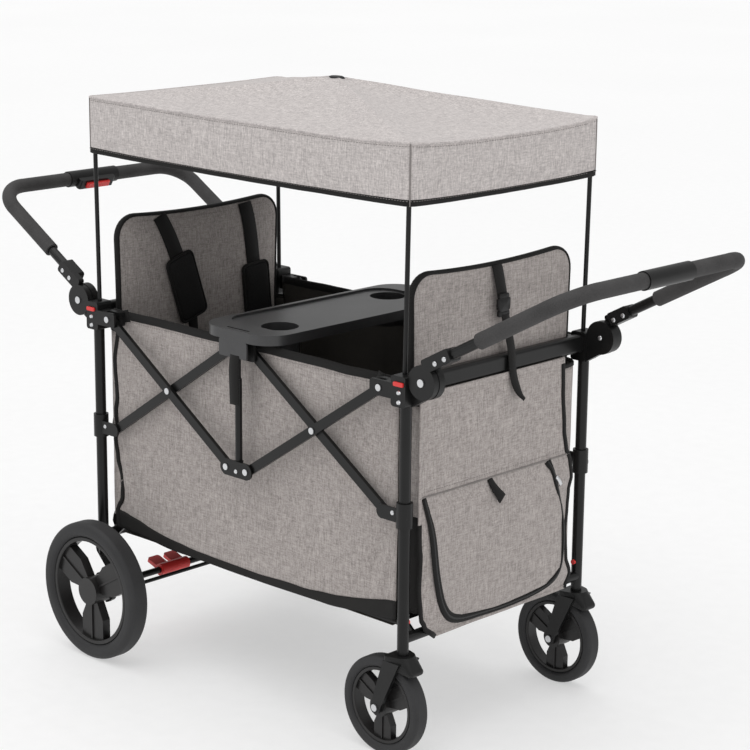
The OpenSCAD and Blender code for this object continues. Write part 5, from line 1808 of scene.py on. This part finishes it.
@dataclass
class Chassis:
    """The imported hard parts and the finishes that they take."""

    finishes: Finishes
    # Distances from the middle, across the wagon, between which a caster fork has no bolt heads.
    fork_inside: float = 226.2
    fork_outside: float = 283.8
    # Outer face of a handle's hub and radius of the bolt head on it.
    hub_face: float = 269.2
    hub_bolt: float = 9.0

    def dress(self) -> None:
        """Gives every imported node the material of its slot."""
        f = self.finishes
        by_slot = {Slot.STEEL: f.powder, Slot.PLASTIC: f.plastic, Slot.PLATED: f.plated, Slot.RED: f.red,
                   Slot.FOAM: f.foam, Slot.TYRE: f.rubber, Slot.CLOTH: f.panel}
        special = {"tray": f.tray, "rear_floor_board": f.lining, "front_floor_board": f.lining}
        special |= {n: f.rim for n in frame["nodes"] if "_rim_" in n}
        slots = self.slots()
        for name, node in frame["nodes"].items():
            finish = special.get(name, by_slot[slots.get(name, Slot.PLASTIC)])
            node.data.materials.clear()
            node.data.materials.append(finish)
            LOG.info("dressed %s in %s", name, finish.name)
        for end in End:
            self.plate_heads(f"{end.label}_castings", self.on_hub_bolt)
        for side in Side:
            self.plate_heads(f"caster_fork_{side.label}", self.on_fork_bolt)

    def slots(self) -> dict[str, Slot]:
        """Reads which slot each node has in the record."""
        return {entry["node"]: Slot(entry["material_slot"]) for entry in frame["record"]["subparts"]}

    def on_fork_bolt(self, point: Vector) -> bool:
        """Tells whether a point is on a bolt head of a caster fork."""
        return not self.fork_inside <= abs(point.y) / MM <= self.fork_outside

    def on_hub_bolt(self, point: Vector) -> bool:
        """Tells whether a point is on the bolt head in the middle of a handle's hub."""
        x, y, z = (point.x - MID_X) / MM, abs(point.y) / MM, point.z / MM
        return y > self.hub_face and math.hypot(abs(x) - HUB_X, z - HUB_Z) < self.hub_bolt

    def plate_heads(self, name: str, chosen: Callable[[Vector], bool]) -> None:
        """Gives the bolt heads of a node bright metal.

        Args:
            name: Node.
            chosen: Tells by a face's middle whether it belongs to a bolt head.
        """
        mesh = frame["nodes"][name].data
        mesh.materials.append(self.finishes.plated)
        for face in mesh.polygons:
            if chosen(face.center):
                face.material_index = 1


@dataclass
class Studio:
    """Floor, lights and camera."""

    finishes: Finishes
    floor_radius: float = 45.0
    floor_rings: tuple[float, ...] = (0.02, 0.06, 0.15, 0.4, 1.0)
    floor_steps: int = 96
    lens: float = 106.108
    azimuth: float = 43.82
    elevation: float = 14.13
    roll: float = 0.56
    target: Triple = (111.87, 0.0, 637.69)
    distance: float = 4393.84
    sensor: float = 36.0
    surround: float = 0.6
    overhead: float = 1.5
    overhead_angle: float = 70.0
    overhead_aim: Triple = (0.12, 0.15, -1.0)
    # Name, place and size in metres, and power of each softbox.
    softboxes: tuple[tuple[str, Triple, float, float], ...] = (
        ("Key softbox", (-1.6, -3.2, 2.2), 0.8, 6.5), ("Front softbox", (3.6, -0.8, 1.8), 0.7, 13.5))
    softbox_aim: Triple = (0.0, 0.0, 0.6)

    def build(self) -> None:
        """Lays the floor, hangs the lights and sets the camera."""
        self.lay_floor()
        self.hang_lights()
        self.set_camera()

    def lay_floor(self) -> None:
        """Lays a wide disc of floor that is lit from below."""
        steps = self.floor_steps
        points = [Vector((0, 0, 0))]
        faces = []
        for ring, share in enumerate(self.floor_rings):
            radius = self.floor_radius * share
            for k, turn in enumerate(turns(steps)):
                points.append(Vector((radius * math.cos(turn), radius * math.sin(turn), 0)))
                a, b = 1 + ring * steps + k, 1 + ring * steps + (k + 1) % steps
                faces.append((0, a, b) if ring == 0 else (a - steps, a, b, b - steps))
        add_mesh("studio_floor", points, faces, self.finishes.floor)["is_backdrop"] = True

    def hang_lights(self) -> None:
        """Sets an even white surround, a wide overhead light and two softboxes."""
        world = bpy.data.worlds.new("White studio")
        world.use_nodes = True
        background = world.node_tree.nodes["Background"]
        background.inputs["Color"].default_value = linear("FFFFFF")
        background.inputs["Strength"].default_value = self.surround
        bpy.context.scene.world = world
        overhead = bpy.data.lights.new("Overhead light", "SUN")
        overhead.energy = self.overhead
        overhead.angle = math.radians(self.overhead_angle)
        lamp = bpy.data.objects.new("Overhead light", overhead)
        lamp.rotation_euler = Vector(self.overhead_aim).to_track_quat("-Z", "Y").to_euler()
        bpy.context.scene.collection.objects.link(lamp)
        for name, place, size, power in self.softboxes:
            light = bpy.data.lights.new(name, "AREA")
            light.size = size
            light.energy = power
            lamp = bpy.data.objects.new(name, light)
            lamp.location = place
            aim = Vector(self.softbox_aim) - lamp.location
            lamp.rotation_euler = aim.to_track_quat("-Z", "Y").to_euler()
            bpy.context.scene.collection.objects.link(lamp)
        bpy.context.scene.view_settings.view_transform = "Standard"

    def set_camera(self) -> None:
        """Puts the camera where the photograph was taken from."""
        turn, lift, roll = (math.radians(v) for v in (self.azimuth, self.elevation, self.roll))
        target = at(*self.target)
        back = Vector((math.sin(turn) * math.cos(lift), -math.cos(turn) * math.cos(lift), math.sin(lift)))
        right = Vector((math.cos(turn), math.sin(turn), 0))
        top = back.cross(right)
        turned_right = right * math.cos(roll) + top * math.sin(roll)
        turned_top = top * math.cos(roll) - right * math.sin(roll)
        data = bpy.data.cameras.new("Camera")
        data.lens = self.lens
        data.sensor_width = self.sensor
        camera = bpy.data.objects.new("Camera", data)
        camera.matrix_world = Matrix.Translation(target + back * self.distance * MM) @ Matrix(
            (turned_right, turned_top, back)).transposed().to_4x4()
        bpy.context.scene.collection.objects.link(camera)
        bpy.context.scene.camera = camera


def main() -> None:
    """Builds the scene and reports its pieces."""
    logging.basicConfig(level=logging.INFO, format="%(name)s: %(message)s")
    finishes = Finishes.mixed()
    Studio(finishes).build()
    Chassis(finishes).dress()
    Canopy(finishes).build()
    sides = {side: SidePanel(finishes, side) for side in Side}
    ends = {end: EndPanel(finishes, end) for end in End}
    for panel in sides.values():
        panel.build()
    TubBase(finishes).build()
    for end, panel in ends.items():
        panel.build()
        for side in Side:
            CornerGusset(finishes, end, side).build(sides[side], panel)
        Backrest(finishes, end).build()
        TieStrap(finishes, end).build()
        FloorMat(finishes, end).build()
    Fasteners(finishes).build()
    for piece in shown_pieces():
        LOG.info("piece %s: %d faces", piece.name, len(piece.data.polygons))


if __name__ == "__main__":
    main()
